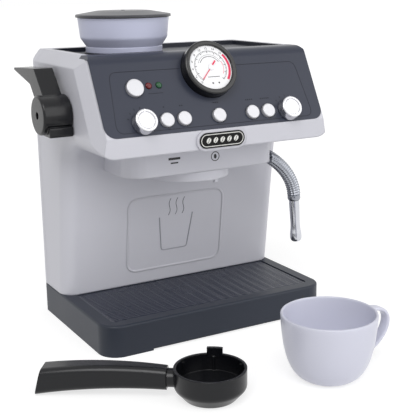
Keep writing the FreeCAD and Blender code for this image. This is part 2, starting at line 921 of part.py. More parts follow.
def make_gauge_housing():
    """Round bezel with a deep cup behind it."""
    rim = gauge_proud
    seat = rim - gauge_face_drop - dial_thickness
    profile = [(0, -gauge_sunk), (gauge_radius, -gauge_sunk), (gauge_radius, rim),
               (gauge_face_radius + fit_gap, rim), (gauge_face_radius + fit_gap, seat), (0, seat)]
    radii = [0, 0, gauge_edge_radius, gauge_lip_radius, 0, 0]
    inside = gauge_radius - gauge_wall
    hollow = [(0, -gauge_sunk - tiny), (inside, -gauge_sunk - tiny), (inside, seat - gauge_floor),
              (0, seat - gauge_floor)]
    return on_panel(turned(profile, radii).cut(turned(hollow)), 0, gauge_height_on_panel)


def make_gauge_dial():
    top = gauge_proud - gauge_face_drop
    disc = Part.makeCylinder(gauge_face_radius, dial_thickness, V(0, 0, top - dial_thickness), UP)
    return on_panel(disc, 0, gauge_height_on_panel)


def make_button(x, row, radius):
    """Cap with a retaining flange behind the panel and a stem over its switch."""
    flange_top = -panel_thickness - running_gap
    flange_low = flange_top - flange_thickness
    stem_end = -board_depth + switch_height + button_travel + running_gap
    profile = [(0, stem_end), (stem_radius, stem_end), (stem_radius, flange_low),
               (radius + flange_width, flange_low), (radius + flange_width, flange_top),
               (radius, flange_top), (radius, button_proud), (0, button_proud)]
    radii = [0, 0, 0, 0, 0, 0, cap_edge_radius, 0]
    return on_panel(turned(profile, radii), x, row)


def make_knob(x):
    """Knob with a dished top, a pointer groove and a retained shaft."""
    foot = running_gap
    collar_top = -panel_thickness - running_gap
    collar_low = collar_top - knob_collar_thickness
    profile = [(0, collar_low), (knob_collar_radius, collar_low), (knob_collar_radius, collar_top),
               (knob_shaft_radius, collar_top), (knob_shaft_radius, foot), (knob_radius, foot),
               (knob_tip_radius, knob_proud), (knob_dish_radius, knob_proud),
               (knob_dish_radius - knob_dish_depth, knob_proud - knob_dish_depth),
               (0, knob_proud - knob_dish_depth)]
    radii = [0, 0, 0, 0, 0, knob_foot_radius, knob_edge_radius, 0, 0, 0]
    groove = box(-knob_mark_width / 2, knob_mark_width / 2, knob_dish_radius - knob_dish_depth,
                 knob_radius + through, knob_proud - knob_mark_depth, knob_proud + through)
    return on_panel(turned(profile, radii).cut(groove), x, knob_row)


def make_top_tray():
    """Shallow dark tray let into the top, with a raised rim round its floor."""
    pocket = top_tray_pocket()
    inner = plan_block(-top_tray_half_width + top_tray_rim, top_tray_half_width - top_tray_rim,
                       panel_strip_end_y + top_tray_rim, top_tray_back_y - top_tray_rim,
                       head_top - top_tray_depth + top_tray_floor, head_top + through,
                       top_tray_radius - top_tray_rim, top_tray_radius - top_tray_rim)
    seat = upright_cylinder(hopper_x, hopper_y, head_top - top_tray_depth, hopper_floor(),
                            hopper_foot_radius + hopper_seat_margin)
    pan = fuse_all([pocket.cut(inner), seat.common(pocket)])
    return pan.cut(gauge_bore(gauge_radius + fit_gap, through, gauge_sunk + fit_gap))


def make_group_box(housing_solid):
    """Box under the head with rounded front corners, closed underneath."""
    back_y = column_head_y + group_corner_radius
    outer = plan_block(-group_half_width, group_half_width, group_front_y, back_y,
                       group_bottom, head_bottom + under_blend_radius, group_corner_radius, sharp)
    inner = plan_block(-group_half_width + group_wall, group_half_width - group_wall,
                       group_front_y + group_wall, back_y + tiny, group_bottom + group_wall,
                       head_bottom + through, group_corner_radius - group_wall, sharp)
    shell = outer.cut(inner)
    boss_start = V(group_half_width - wand_pin_length - group_wall, wand_y, wand_z)
    boss = Part.makeCylinder(wand_pin_radius + group_wall, wand_pin_length + group_wall - tiny,
                             boss_start, RIGHT)
    boss = boss.common(outer)
    pin_start = V(group_half_width - wand_pin_length - fit_gap, wand_y, wand_z)
    bore = Part.makeCylinder(wand_pin_radius + bore_gap, wand_pin_length + through, pin_start, RIGHT)
    whole = fuse_all([shell, boss]).cut([bore, housing_solid])
    return max(whole.Solids, key=lambda solid: solid.Volume)


def make_group_collar(housing_solid):
    """Round collar under the box with the socket for the portafilter's rim."""
    ring = upright_cylinder(0, collar_centre_y, collar_bottom, group_bottom, collar_radius)
    lug_y = collar_centre_y - collar_radius + 2 * lug_depth
    lug = box(lug_x, lug_x + lug_width, lug_y - lug_depth, lug_y, collar_bottom - lug_height, group_bottom)
    socket = upright_cylinder(0, socket_centre_y, collar_bottom - through, group_bottom + tiny, socket_radius)
    ring = fuse_all([ring, lug]).cut([socket, housing_solid])
    return max(ring.Solids, key=lambda solid: solid.Volume)


def stadium(half_length, height, y_low, thickness):
    """Upright plate with round ends on the chin."""
    z_low = badge_centre_z - height / 2
    corners = [V(badge_centre_x - half_length, y_low, z_low), V(badge_centre_x + half_length, y_low, z_low)]
    corners += [V(badge_centre_x + half_length, y_low, z_low + height),
                V(badge_centre_x - half_length, y_low, z_low + height)]
    radius = height / 2 - 0.01
    return prism(corners, [radius] * 4, BACK * -thickness)


def make_badge_backing():
    return stadium(badge_half_length + badge_border, badge_height + 2 * badge_border, head_front_y,
                   badge_backing_thickness)


def make_badge_plate():
    return stadium(badge_half_length, badge_height, head_front_y - badge_backing_thickness,
                   badge_plate_thickness)


def hopper_floor():
    return head_top - hopper_seat_drop


def make_hopper():
    """Round bowl on a foot band, open at the top."""
    wall = hopper_wall
    top = hopper_height
    outer = [(0, 0), (hopper_foot_radius, 0), (hopper_foot_radius, hopper_foot_band),
             (hopper_neck_radius, hopper_foot_band + hopper_step), (hopper_belly_radius, hopper_shoulder),
             (hopper_rim_radius, top), (0, top)]
    outer_radii = [0, hopper_foot_edge, 0, 0, hopper_belly_round, 0, 0]
    neck = (hopper_neck_radius - wall, hopper_foot_band + 2 * hopper_step)
    belly = (hopper_belly_radius - wall, hopper_shoulder + 2 * hopper_step)
    inner = [(0, wall), (hopper_foot_radius - wall, wall), neck, belly,
             (hopper_rim_radius - wall, top + tiny), (0, top + tiny)]
    inner_radii = [0, 0, 0, hopper_belly_round - 2 * hopper_step, 0, 0]
    bowl = turned(outer, outer_radii).cut(turned(inner, inner_radii))
    return moved(bowl, hopper_x, hopper_y, hopper_floor())


def make_hopper_lid():
    """Domed lid with a centre nub and a plug ring inside the bowl."""
    low = hopper_height + running_gap
    plug = hopper_rim_radius - hopper_wall - 3 * running_gap
    profile = [(0, low), (plug - lid_plug_wall, low), (plug - lid_plug_wall, low - lid_plug_depth),
               (plug, low - lid_plug_depth), (plug, low), (lid_radius, low),
               (lid_radius, low + lid_thickness), (lid_flat_radius, low + lid_thickness + lid_crown),
               (lid_nub_radius, low + lid_thickness + lid_crown),
               (lid_nub_radius, low + lid_thickness + lid_crown + lid_nub_height),
               (0, low + lid_thickness + lid_crown + lid_nub_height)]
    radii = [0, 0, 0, 0, 0, lid_low_round, lid_high_round, lid_dome_round, 0, lid_nub_round, 0]
    return moved(turned(profile, radii), hopper_x, hopper_y, hopper_floor())


def lever_outline():
    """Side outline of the lever's arm and paddle, from the hub's middle outwards."""
    points = [(lever_root_back, lever_root_back_z), (lever_heel_y, lever_heel_z)]
    points += [(lever_elbow_y, lever_elbow_z), (lever_tip_y, lever_tip_z)]
    points += [(lever_tip_y + lever_tip_overhang, lever_tip_z - lever_tip_thickness)]
    points += [(lever_throat_y, lever_throat_z), (lever_root_front, lever_root_front_z)]
    radii = [0, lever_heel_round, lever_elbow_round, lever_tip_round, lever_tip_round, lever_throat_round, 0]
    return [(lever_y + y, lever_z + z) for y, z in points], radii


def make_lever():
    """Hub, arm with its paddle, lug and pivot pin in one moulding."""
    hub_inner = -half_width - lever_side_gap
    hub_outer = hub_inner - lever_hub_length
    hub = Part.makeCylinder(lever_hub_radius, lever_hub_length, V(hub_outer, lever_y, lever_z), RIGHT)
    rims = [edge for edge in hub.Edges if edge.Closed and edge.BoundBox.XLength < tiny]
    hub = hub.makeFillet(lever_hub_edge, rims)
    outline, radii = lever_outline()
    arm_right = hub_inner - lever_arm_start
    arm = side_prism(outline, radii, arm_right - lever_arm_width, arm_right)
    lug = box(arm_right - lever_arm_width, arm_right, -lever_lug_half_width, lever_lug_half_width,
              -lever_lug_reach, 0)
    lug.rotate(V(0, 0, 0), RIGHT, lever_lug_angle)
    lug.translate(V(0, lever_y, lever_z))
    pin_length = lever_side_gap + housing_wall + running_gap + lever_retainer_thickness
    pin = Part.makeCylinder(lever_pin_radius, pin_length, V(hub_inner, lever_y, lever_z), RIGHT)
    hole_start = V(hub_outer, lever_y, lever_z)
    screw_hole = Part.makeCylinder(lever_screw_hole, lever_hub_length / 2, hole_start, RIGHT)
    return fuse_all([hub, arm, lug, pin]).cut(screw_hole)


def make_lever_screw():
    hub_outer = -half_width - lever_side_gap - lever_hub_length
    head = Part.makeCylinder(lever_screw_hole - bore_gap, screw_head_height,
                             V(hub_outer + lever_hub_length / 2 - screw_head_height, lever_y, lever_z), RIGHT)
    return head


def make_lever_retainer():
    """Washer that keeps the lever's pin behind the housing wall."""
    start = V(-half_width + housing_wall + running_gap, lever_y, lever_z)
    disc = Part.makeCylinder(lever_retainer_radius, lever_retainer_thickness, start, RIGHT)
    hole = Part.makeCylinder(lever_pin_radius, lever_retainer_thickness, start, RIGHT)
    return disc.cut(hole)


def wand_path():
    """Places and directions of the wand's bend: start, bend centre and end of the bend."""
    slope = math.radians(wand_start_slope)
    start_x = group_half_width + running_gap + wand_hub_length * wand_hub_cover
    lead_x = start_x + wand_lead * math.cos(slope)
    lead_z = wand_z - wand_lead * math.sin(slope)
    centre_x = lead_x - wand_bend_radius * math.sin(slope)
    centre_z = lead_z - wand_bend_radius * math.cos(slope)
    return start_x, lead_x, lead_z, centre_x, centre_z


def wand_ring(angle, radius):
    """Circle round the wand's centre line, at an angle of the bend down from level."""
    start_x, lead_x, lead_z, centre_x, centre_z = wand_path()
    ring_x = centre_x + wand_bend_radius * math.sin(angle)
    ring_z = centre_z + wand_bend_radius * math.cos(angle)
    centre = V(ring_x, wand_y, ring_z)
    direction = V(math.cos(angle), 0, -math.sin(angle))
    return Part.Wire(Part.makeCircle(radius, centre, direction))


def make_wand():
    """Pivot hub and ribbed bent tube that ends in a collar."""
    start_x, lead_x, lead_z, centre_x, centre_z = wand_path()
    slope = math.radians(wand_start_slope)
    hub_x = group_half_width + running_gap
    hub = Part.makeCylinder(wand_hub_radius, wand_hub_length, V(hub_x, wand_y, wand_z), RIGHT)
    pin_start = V(hub_x - wand_pin_length, wand_y, wand_z)
    pin = Part.makeCylinder(wand_pin_radius, wand_pin_length + 1, pin_start, RIGHT)
    lead_direction = V(math.cos(slope), 0, -math.sin(slope))
    lead = Part.makeCylinder(wand_tube_radius, wand_lead + tiny, V(start_x, wand_y, wand_z), lead_direction)
    rings = []
    turn = math.pi / 2 - slope
    for index in range(2 * wand_rib_count + 1):
        angle = slope + turn * index / (2 * wand_rib_count)
        rings.append(wand_ring(angle, wand_rib_radius if index % 2 else wand_tube_radius))
    ribbed = Part.makeLoft(rings, True, True)
    end_x = centre_x + wand_bend_radius
    collar = upright_cylinder(end_x, wand_y, centre_z - wand_collar_length, centre_z + tiny,
                              wand_collar_radius)
    return fuse_all([hub, pin, lead, ribbed, collar])


def make_nozzle():
    """Smooth end tube with a waist and a rounded, wider tip."""
    start_x, lead_x, lead_z, centre_x, centre_z = wand_path()
    top = centre_z - wand_collar_length
    length = nozzle_length
    profile = [(0, 0), (nozzle_radius, 0), (nozzle_waist_radius, -nozzle_waist_drop),
               (nozzle_tip_radius, -nozzle_swell_drop), (nozzle_tip_radius, -length), (0, -length)]
    tip_round = nozzle_tip_radius - nozzle_tip_flat
    radii = [0, 0, nozzle_waist_round, nozzle_swell_round, tip_round, 0]
    return moved(turned(profile, radii), centre_x + wand_bend_radius, wand_y, top)


def cup_side(inset, top):
    """Edges of the cup's side from the foot up, moved in by an inset."""
    foot = V(cup_foot_radius - inset / 2, 0, inset)
    belly = V(cup_belly_radius - inset * 0.75, 0, cup_belly_height + inset * 0.65)
    side = V(cup_side_radius - inset, 0, cup_side_height)
    rim = V(cup_rim_radius - inset, 0, top)
    return foot, [Part.Arc(foot, belly, side).toShape(), Part.LineSegment(side, rim).toShape()], rim


def cup_solid(inset, top):
    foot, edges, rim = cup_side(inset, top)
    middle_low = V(0, 0, inset)
    middle_high = V(0, 0, top)
    bottom = Part.LineSegment(middle_low, foot).toShape()
    lid = Part.LineSegment(rim, middle_high).toShape()
    axis = Part.LineSegment(middle_high, middle_low).toShape()
    return Part.Face(Part.Wire([bottom] + edges + [lid, axis])).revolve(V(0, 0, 0), UP, 360)


def handle_band(inset):
    """Flat outline of the cup's handle, from the bowl out and back."""
    inside = cup_belly_radius - 2 * inset
    reach = cup_rim_radius + cup_handle_reach - inset
    top = cup_handle_top - inset
    bottom = cup_handle_bottom + inset
    corners = [V(inside, 0, top), V(reach, 0, top - cup_handle_drop)]
    corners += [V(reach - cup_handle_lean, 0, cup_handle_bottom + cup_handle_rise), V(inside, 0, bottom)]
    round_out = cup_handle_round - inset
    return rounded_wire(corners, [0, round_out, round_out, 0])


def make_cup():
    """Bowl of even wall with a flat band handle."""
    solid = cup_solid(0, cup_height)
    hollow = cup_solid(cup_wall, cup_height + tiny)
    outer = Part.Face(handle_band(0)).extrude(BACK * cup_handle_width)
    inner = Part.Face(handle_band(cup_handle_thickness)).extrude(BACK * cup_handle_width)
    band = outer.cut(inner)
    band.translate(BACK * -cup_handle_width / 2)
    band = band.cut(solid)
    band = max(band.Solids, key=lambda item: item.BoundBox.XMax)
    cup = fuse_all([solid.cut(hollow), band])
    cup.rotate(V(0, 0, 0), UP, cup_handle_angle)
    return moved(cup, cup_x, cup_y, 0)


def make_filter_head():
    """Round basket with a tapered foot, a tab over the rim, ribs inside and a neck."""
    outer = [(0, 0), (filter_foot_radius, 0), (filter_radius, filter_taper_height),
             (filter_radius, filter_height), (0, filter_height)]
    inner = [(0, filter_floor), (filter_radius - filter_wall, filter_floor),
             (filter_radius - filter_wall, filter_height + tiny), (0, filter_height + tiny)]
    basket = turned(outer, [0, filter_foot_round, filter_side_round, 0, 0]).cut(turned(inner))
    tab_inside = filter_radius - filter_tab_thickness
    tab_low = filter_height - filter_tab_root
    tab_high = filter_height + filter_tab_height
    ring = turned([(tab_inside, tab_low), (filter_radius, tab_low), (filter_radius, tab_high),
                   (tab_inside, tab_high)])
    pieces = [basket]
    slot = box(0, filter_radius + through, -filter_tab_width / 2, filter_tab_width / 2, tab_low, tab_high)
    tab = ring.common(slot)
    tab.rotate(V(0, 0, 0), UP, handle_direction - filter_tab_angle)
    pieces.append(tab)
    rib_outside = filter_radius - filter_wall
    rib = box(rib_outside - filter_rib_depth, rib_outside + filter_rib_root, -filter_rib_width / 2,
              filter_rib_width / 2, filter_floor - filter_rib_root, filter_height - filter_rib_drop)
    for index in range(filter_rib_count):
        turned_rib = rib.copy()
        place = filter_rib_offset + index * 360 / filter_rib_count
        turned_rib.rotate(V(0, 0, 0), UP, handle_direction + place)
        pieces.append(turned_rib)
    neck_z = (handle_root_bottom + handle_root_top) / 2
    neck = Part.makeCylinder(handle_neck_radius, handle_neck_length + filter_wall,
                             V(filter_radius - filter_wall / 2, 0, neck_z), RIGHT)
    neck = neck.cut(turned(inner))
    neck.rotate(V(0, 0, 0), UP, handle_direction)
    pieces.append(neck)
    return moved(fuse_all(pieces), filter_x, filter_y, 0)


def make_filter_handle():
    """Slightly arched grip with soft long edges and a slanted end."""
    start = filter_radius + filter_wall / 2 + handle_neck_length
    end = start + handle_length
    half = handle_end_width / 2
    low_start = V(start, -half, handle_root_bottom)
    low_end = V(end, -half, handle_end_bottom)
    high_end = V(end - handle_end_slant, -half, handle_end_top)
    high_start = V(start, -half, handle_root_top)
    middle = (start + end) / 2
    low_middle = V(middle, -half, (handle_root_bottom + handle_end_bottom) / 2 + handle_arch)
    high_middle = V(middle, -half, (handle_root_top + handle_end_top) / 2 + handle_arch)
    plan = [V(start, -handle_root_width / 2, -through), V(end, -half, -through),
            V(end, half, -through), V(start, handle_root_width / 2, -through)]
    wedge = prism(plan, [0, 0, 0, 0], UP * 2 * through)
    edges = [Part.Arc(low_start, low_middle, low_end).toShape(),
             Part.LineSegment(low_end, high_end).toShape()]
    edges += [Part.Arc(high_end, high_middle, high_start).toShape(),
              Part.LineSegment(high_start, low_start).toShape()]
    grip = Part.Face(Part.Wire(edges)).extrude(BACK * handle_end_width).common(wedge)

    def is_long(edge):
        return edge.BoundBox.XLength > handle_length / 2

    grip = grip.makeFillet(handle_edge_radius, edges_where(grip, is_long))
    grip.rotate(V(0, 0, 0), UP, handle_direction)
    return moved(grip, filter_x, filter_y, 0)


housing = make_housing()
housing_solid = housing_block(0, 0, 0)

save("base_tray", make_base_tray())
save("drip_tray_plate", make_drip_plate())
save("bottom_cover", make_bottom_cover())
save("bottom_cover_screws", make_cover_screws())
save("battery_box", make_battery_box())
save("battery_cells", make_battery_cells())
save("battery_door", make_battery_door())
save("battery_door_screw", make_battery_door_screw())
save("speaker", make_speaker())
save("housing_shell", make_housing_shell(housing))
save("rear_cover", make_rear_cover(housing))
save("rear_cover_screws", make_rear_cover_screws())
save("control_panel", make_control_panel())
save("circuit_board", make_circuit_board())
save("tact_switches", make_tact_switches())
save("knob_switches", make_knob_switches())
save("red_lamp", make_lamp(red_lamp_x))
save("green_lamp", make_lamp(green_lamp_x))
save("gauge_housing", make_gauge_housing())
save("gauge_dial", make_gauge_dial())
save("top_tray", make_top_tray())
save("group_head_box", make_group_box(housing_solid))
save("group_collar", make_group_collar(housing_solid))
save("badge_backing", make_badge_backing())
save("badge_plate", make_badge_plate())
save("hopper_bowl", make_hopper())
save("hopper_lid", make_hopper_lid())
save("power_button", make_button(power_button_x, power_button_row, power_button_radius))
for name, x in zip(button_names, button_places):
    save(name, make_button(x, button_row, button_radius))
save("knob_left", make_knob(-knob_x))
save("knob_right", make_knob(knob_x))
save("lever", make_lever())
save("lever_screw", make_lever_screw())
save("lever_retainer", make_lever_retainer())
save("steam_wand", make_wand())
save("steam_nozzle", make_nozzle())
save("cup", make_cup())
save("portafilter_head", make_filter_head())
save("portafilter_handle", make_filter_handle())
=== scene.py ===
import json
import math

import bmesh
import bpy
from mathutils import Matrix, Vector


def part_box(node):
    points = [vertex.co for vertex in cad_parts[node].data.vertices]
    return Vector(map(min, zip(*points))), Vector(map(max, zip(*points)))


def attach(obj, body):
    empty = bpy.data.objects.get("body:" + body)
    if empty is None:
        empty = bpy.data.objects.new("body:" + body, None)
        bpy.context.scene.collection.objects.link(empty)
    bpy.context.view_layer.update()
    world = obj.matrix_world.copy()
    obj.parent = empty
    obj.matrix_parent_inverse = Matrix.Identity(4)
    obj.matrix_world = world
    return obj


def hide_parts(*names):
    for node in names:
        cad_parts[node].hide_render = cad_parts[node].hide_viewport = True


# Looks of the toy coffee maker: finishes for every CAD node, printed and moulded detail, finer
# meshes for the drip plate, cup, steam wand and lever, the studio and the camera.
# Lengths are in metres.

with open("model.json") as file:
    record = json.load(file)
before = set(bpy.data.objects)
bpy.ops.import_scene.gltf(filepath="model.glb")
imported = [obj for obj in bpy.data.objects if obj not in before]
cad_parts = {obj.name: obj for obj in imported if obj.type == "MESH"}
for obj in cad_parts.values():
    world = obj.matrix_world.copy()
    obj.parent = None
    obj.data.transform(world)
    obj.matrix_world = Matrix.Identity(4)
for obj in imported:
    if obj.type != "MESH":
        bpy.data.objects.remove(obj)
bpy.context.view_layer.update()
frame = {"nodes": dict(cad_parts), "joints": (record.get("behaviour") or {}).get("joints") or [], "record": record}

MM = 0.001
MACHINE = "machine"


def in_mm(*points):
    """The same points with every number read as millimetres."""
    return [tuple(value * MM for value in point) for point in points]


# Every finish
EDGE_SAMPLES = 4
GRAIN_DETAIL = 3
GRAIN_DEPTH = 0.1 * MM
CLOUD_DETAIL = 2
CLOUD_SCALE = 28
ROUGHNESS_SWING = 0.04
COAT_ROUGHNESS = 0.12

# Silver caps on the panel, as (roughness, metallic)
KNOB_SILVER = (0.2, 0.95)
BUTTON_SILVER = (0.34, 0.35)
CAP_RING_SCALE = 420
CAP_RING_DISTORTION = 1.5
CAP_RING_STRENGTH = 0.3
CAP_RING_DEPTH = 0.05 * MM
CAP_EDGE = 0.4 * MM

# Battery sleeves
SLEEVE_BAND = 14 * MM
SLEEVE_NOISE = 60
SLEEVE_METALLIC = 0.6

# Every shape
SUNK = 0.3 * MM
PRINT_HEIGHT = 0.05 * MM
SHARP_ANGLE = math.radians(38)
FLAT_FROM_CORNERS = 5
DISC_STEPS = 32
DISC_SHOULDER = 0.5
DISC_TOP = 0.9
DOME = ((-0.42, 0.45), (-0.18, 1.0), (0.18, 1.0), (0.42, 0.45))
CORNER_STEPS = 8
TURNED_STEPS = 96

# Panel
KNOB_ROW = 10.5 * MM
KNOB_X = 68 * MM
PANEL_LINE_X = 92 * MM
PANEL_LINE_TAPER = 5 * MM
PANEL_LINE_LOW = 3.4 * MM
PANEL_LINE_HIGH = 54 * MM
PANEL_LINE_ROUND = 7 * MM
PANEL_LINE_WIDTH = 0.7 * MM
PANEL_LINE_HEIGHT = 0.15 * MM
GAUGE_HALF_GAP = 24.6 * MM

# Plain legends: counting dots, ticks round the knobs and a line by the power button
LEGEND_ROW = 22.5 * MM
LEGEND_PLACES = (-47.5, -32.0, 0.0, 32.0, 47.5)
LEGEND_DOT = 0.6 * MM
LEGEND_DOT_PITCH = 1.9 * MM
LEGEND_DOT_STEPS = 12
KNOB_TICKS = 7
KNOB_TICK_START = 20
KNOB_TICK_SPAN = 140
KNOB_TICK_INNER = 12 * MM
KNOB_TICK_OUTER = 13.6 * MM
KNOB_TICK_WIDTH = 0.5 * MM
POWER_MARK = in_mm((-57.5, 34.4), (-44.5, 34.4))
POWER_MARK_WIDTH = 0.4 * MM

# Gauge, where shares are parts of the dial's radius
DIAL_RADIUS = 19.25 * MM
DIAL_THICKNESS = 1 * MM
DIAL_START = math.radians(228)
DIAL_END = math.radians(-48)
DIAL_TICKS = 50
DIAL_LONG_EVERY = 5
SCALE_SHARE = 0.76
LONG_TICK_SHARE = 0.66
SHORT_TICK_SHARE = 0.70
LONG_TICK_WIDTH = 0.55 * MM
SHORT_TICK_WIDTH = 0.32 * MM
DIAL_ARC_STEPS = 64
DIAL_ARCS = ((SCALE_SHARE, DIAL_START, DIAL_END, 0.2 * MM),
             (0.50, math.radians(152), math.radians(28), 0.45 * MM),
             (0.58, math.radians(158), math.radians(22), 0.2 * MM))
DIAL_DOTS = in_mm((-1.5, -13.6), (4.2, -13.6))
DIAL_DOT_RADIUS = 0.75 * MM
DIAL_DOT_STEPS = 16
DIAL_BAR = in_mm((-4.6, -8.2), (6.2, -8.2))
DIAL_BAR_WIDTH = 0.5 * MM
RED_ARC = (0.90, math.radians(38), math.radians(-40), 32, 2.1 * MM)
RED_INNER_ARC = (0.62, math.radians(24), math.radians(-30), 24, 0.35 * MM)
NUMBERS = 9
NUMBER_STEP = 2
NUMBER_END = math.radians(46)
NUMBER_SHARE = 0.87
NUMBER_SIZE = 2.8 * MM
NEEDLE_ANGLE = math.radians(226)
NEEDLE_SHARES = (0.72, 0.10)
NEEDLE_WIDTH = 0.6 * MM
NEEDLE_TAIL_SHARES = (0.12, 0.40)
NEEDLE_TAIL_WIDTH = 1.2 * MM
NEEDLE_UNDER = 0.4 * MM
NEEDLE_TOP = 0.7 * MM
NEEDLE_HUB_RADIUS = 2.6 * MM
NEEDLE_HUB_HEIGHT = 1.0 * MM

# Column front, which leans back from the head down to the base
COLUMN_FOOT_Y = 18 * MM
COLUMN_HEAD_Y = 0.0
COLUMN_FOOT_Z = 27 * MM
COLUMN_HEAD_Z = 163.4 * MM
TUMBLER = in_mm((-17, 62), (-14, 29.5), (12, 29.5), (17, 63))
TUMBLER_ROUND = 3 * MM
TUMBLER_WIDTH = 1.2 * MM
TUMBLER_HEIGHT = 0.6 * MM
STEAM_PLACES = (-7, 0, 7)
STEAM_LOW = 63
STEAM_RISE = 16
STEAM_START = -1
STEAM_LEAN = 2
STEAM_SWING = 1.1
STEAM_STEPS = 24
STEAM_WIDTH = 0.7 * MM
STEAM_HEIGHT = 0.2 * MM

# Badge on the chin
BADGE_X = -1 * MM
BADGE_Z = 171 * MM
BADGE_HALF_LENGTH = 21 * MM
BADGE_HALF_HEIGHT = 6.3 * MM
BADGE_LINE_INSET = 1.5 * MM
BADGE_LINE_WIDTH = 0.6 * MM
BADGE_LINE_HEIGHT = 0.1 * MM
BADGE_LINE_STEPS = 20
BEANS = 5
BEAN_PITCH = 6.4 * MM
BEAN_TURN = math.radians(55)
BEAN_LENGTH = 2.5 * MM
BEAN_WIDTH = 1.9 * MM
BEAN_HEIGHT = 0.15 * MM
SLIT_LENGTH = 2.3 * MM
SLIT_SWING = 0.35 * MM
SLIT_WIDTH = 0.45 * MM
SLIT_HEIGHT = 0.2 * MM
SLIT_STEPS = 12

# Group head box and its two plain marks
BOX_FRONT_Y = -48 * MM
BOX_MARK_Z = 151.5 * MM
LONG_BAR = in_mm((-36, 2), (-25, 2))
LONG_BAR_WIDTH = 2 * MM
SHORT_BAR = in_mm((-34, -1.6), (-27, -1.6))
SHORT_BAR_WIDTH = 1.2 * MM
RING_PLACE = (8.5 * MM, 0)
RING_RADIUS = 3.8 * MM
RING_WIDTH = 0.7 * MM
RING_STEPS = 47
RING_DOT = (1.4 * MM, 2.1 * MM)

# Drip plate
PLATE_FLOOR = 1.2 * MM
PLATE_COLUMNS = 260
PLATE_CORNER = 5 * MM
RIB_PITCH = 3.2 * MM
RIB_WAVE = 9 * MM
RIB_SWING = 0.45 * MM
RIB_SECTION = (0, 0.75, 1.0, 0.75)

# Cup, as curve handles of (distance from its axis, height)
CUP_WALL = 2 * MM
CUP_OUTSIDE = in_mm((14.5, 0), (29, 1.5), (35.2, 18))
CUP_INSIDE = in_mm((12.5, 2), (27, 3.6), (33.2, 19))
CUP_STEPS = 28
CUP_RIM_STEPS = 8
CUP_HANDLE = in_mm((35, 47.6), (64.5, 51.5), (60.5, 21), (31.0, 12.5))
CUP_HANDLE_STEPS = 36
CUP_HANDLE_AROUND = 20
CUP_HANDLE_HALF_WIDTH = 4.5 * MM
CUP_HANDLE_HALF_THICKNESS = 1.6 * MM
CUP_HANDLE_SIDE_POWER = 0.6
CUP_HANDLE_FACE_POWER = 0.7

# Steam wand, a rigid plated moulding: its bend in the object's (x, z), then (reach, radius)
# along the collar and nozzle
WAND_GAP = 0.3 * MM
WAND_PIN_RADIUS = 3 * MM
WAND_PIN_LENGTH = 8 * MM
WAND_AROUND = 64
BEND_RADIUS = 5.7 * MM
BEND_ROOT_BACK = 1 * MM
BEND_ROOT_DROP = 0.5 * MM
BEND_HANDLES = in_mm((86, 134.5), (99.7, 119.5), (100.6, 103.5))
BEND_STEPS = 150
WEAVE_STRANDS = 6
WEAVE_LENGTH = 0.75 * MM
WEAVE_DEPTH = 0.55 * MM
NOZZLE_LEAN = (3.2 * MM, 0, -45 * MM)
COLLAR = in_mm((0.2, 5.9), (3.6, 5.9), (4.6, 5.5), (5.2, 4.6))
NOZZLE_NECK = in_mm((5.3, 4.8), (20, 4.9), (26, 3.9), (34, 4.8))
NOZZLE_NECK_STEPS = 20
NOZZLE_TIP = in_mm((34, 4.8), (42, 5.9), (45.5, 5.9), (45.5, 0.6))
NOZZLE_TIP_STEPS = 16

# Lever, with outlines in (y, z) from its pivot and lengths in x from the hub's inner end
LEVER_HUB_LENGTH = 24.5 * MM
LEVER_HUB_RADIUS = 16 * MM
LEVER_HUB_EDGE = 1.8 * MM
LEVER_HUB_EDGE_STEPS = 6
LEVER_HOLE_RADIUS = 3 * MM
LEVER_HOLE_DEPTH = 12.25 * MM
LEVER_PIN_RADIUS = 6 * MM
SLAB_EDGE_STEPS = 4
LEVER_ARM = in_mm((-3, 8), (-3.5, 15), (15.5, 36), (66, 33.3), (66.4, 31.4), (27, 22.5), (13, 7))
LEVER_ARM_ROUNDS = (0.6 * MM, MM, 3 * MM, 0.7 * MM, 0.7 * MM, 5 * MM, 0.6 * MM)
LEVER_ARM_REACH = (20 * MM, 4 * MM)
LEVER_ARM_EDGE = 0.4 * MM
LEVER_BLOCK = in_mm((-16, -8.6), (-16, -16.8), (1, -16.8), (1, -8.6))
LEVER_BLOCK_ROUNDS = (1.6 * MM, 2.6 * MM, 1.3 * MM, 1.3 * MM)
LEVER_BLOCK_REACH = (20.3 * MM, 0.4 * MM)
LEVER_BLOCK_EDGE = 1.1 * MM

# Hopper lid's edge band
LID_BAND_DEPTH = 0.8 * MM
LID_BAND_LOW = 4.05 * MM
LID_BAND_HIGH = 5.2 * MM

# Rear cover screws
REAR_SCREW_X = 94 * MM
REAR_SCREW_HEIGHTS = (49 * MM, 210 * MM)
REAR_SCREW_Y = 68.7 * MM
SCREW_CROSS = 1.7 * MM
SCREW_CROSS_WIDTH = 0.7 * MM
SCREW_CROSS_HEIGHTS = (0.04 * MM, 0.06 * MM)

# Painted shade spot on the base's front: a small dark disc where shade falls
BASE_SHADE_SPOT_X = 84 * MM
BASE_SHADE_SPOT_Z = 19 * MM
BASE_SHADE_SPOT_RADIUS = 1.1 * MM
BASE_SHADE_SPOT_STEPS = 20

# Camera, solved from the photograph
CAMERA_PLACE = Vector((-366.31, -695.24, 293.90)) * MM
CAMERA_RIGHT = Vector((0.86816, -0.49612, -0.01279))
CAMERA_UP = Vector((0.13150, 0.20513, 0.96986))
CAMERA_LENS = 77.575
CAMERA_SENSOR = 36.0
CAMERA_CLIP = (10 * MM, 60)

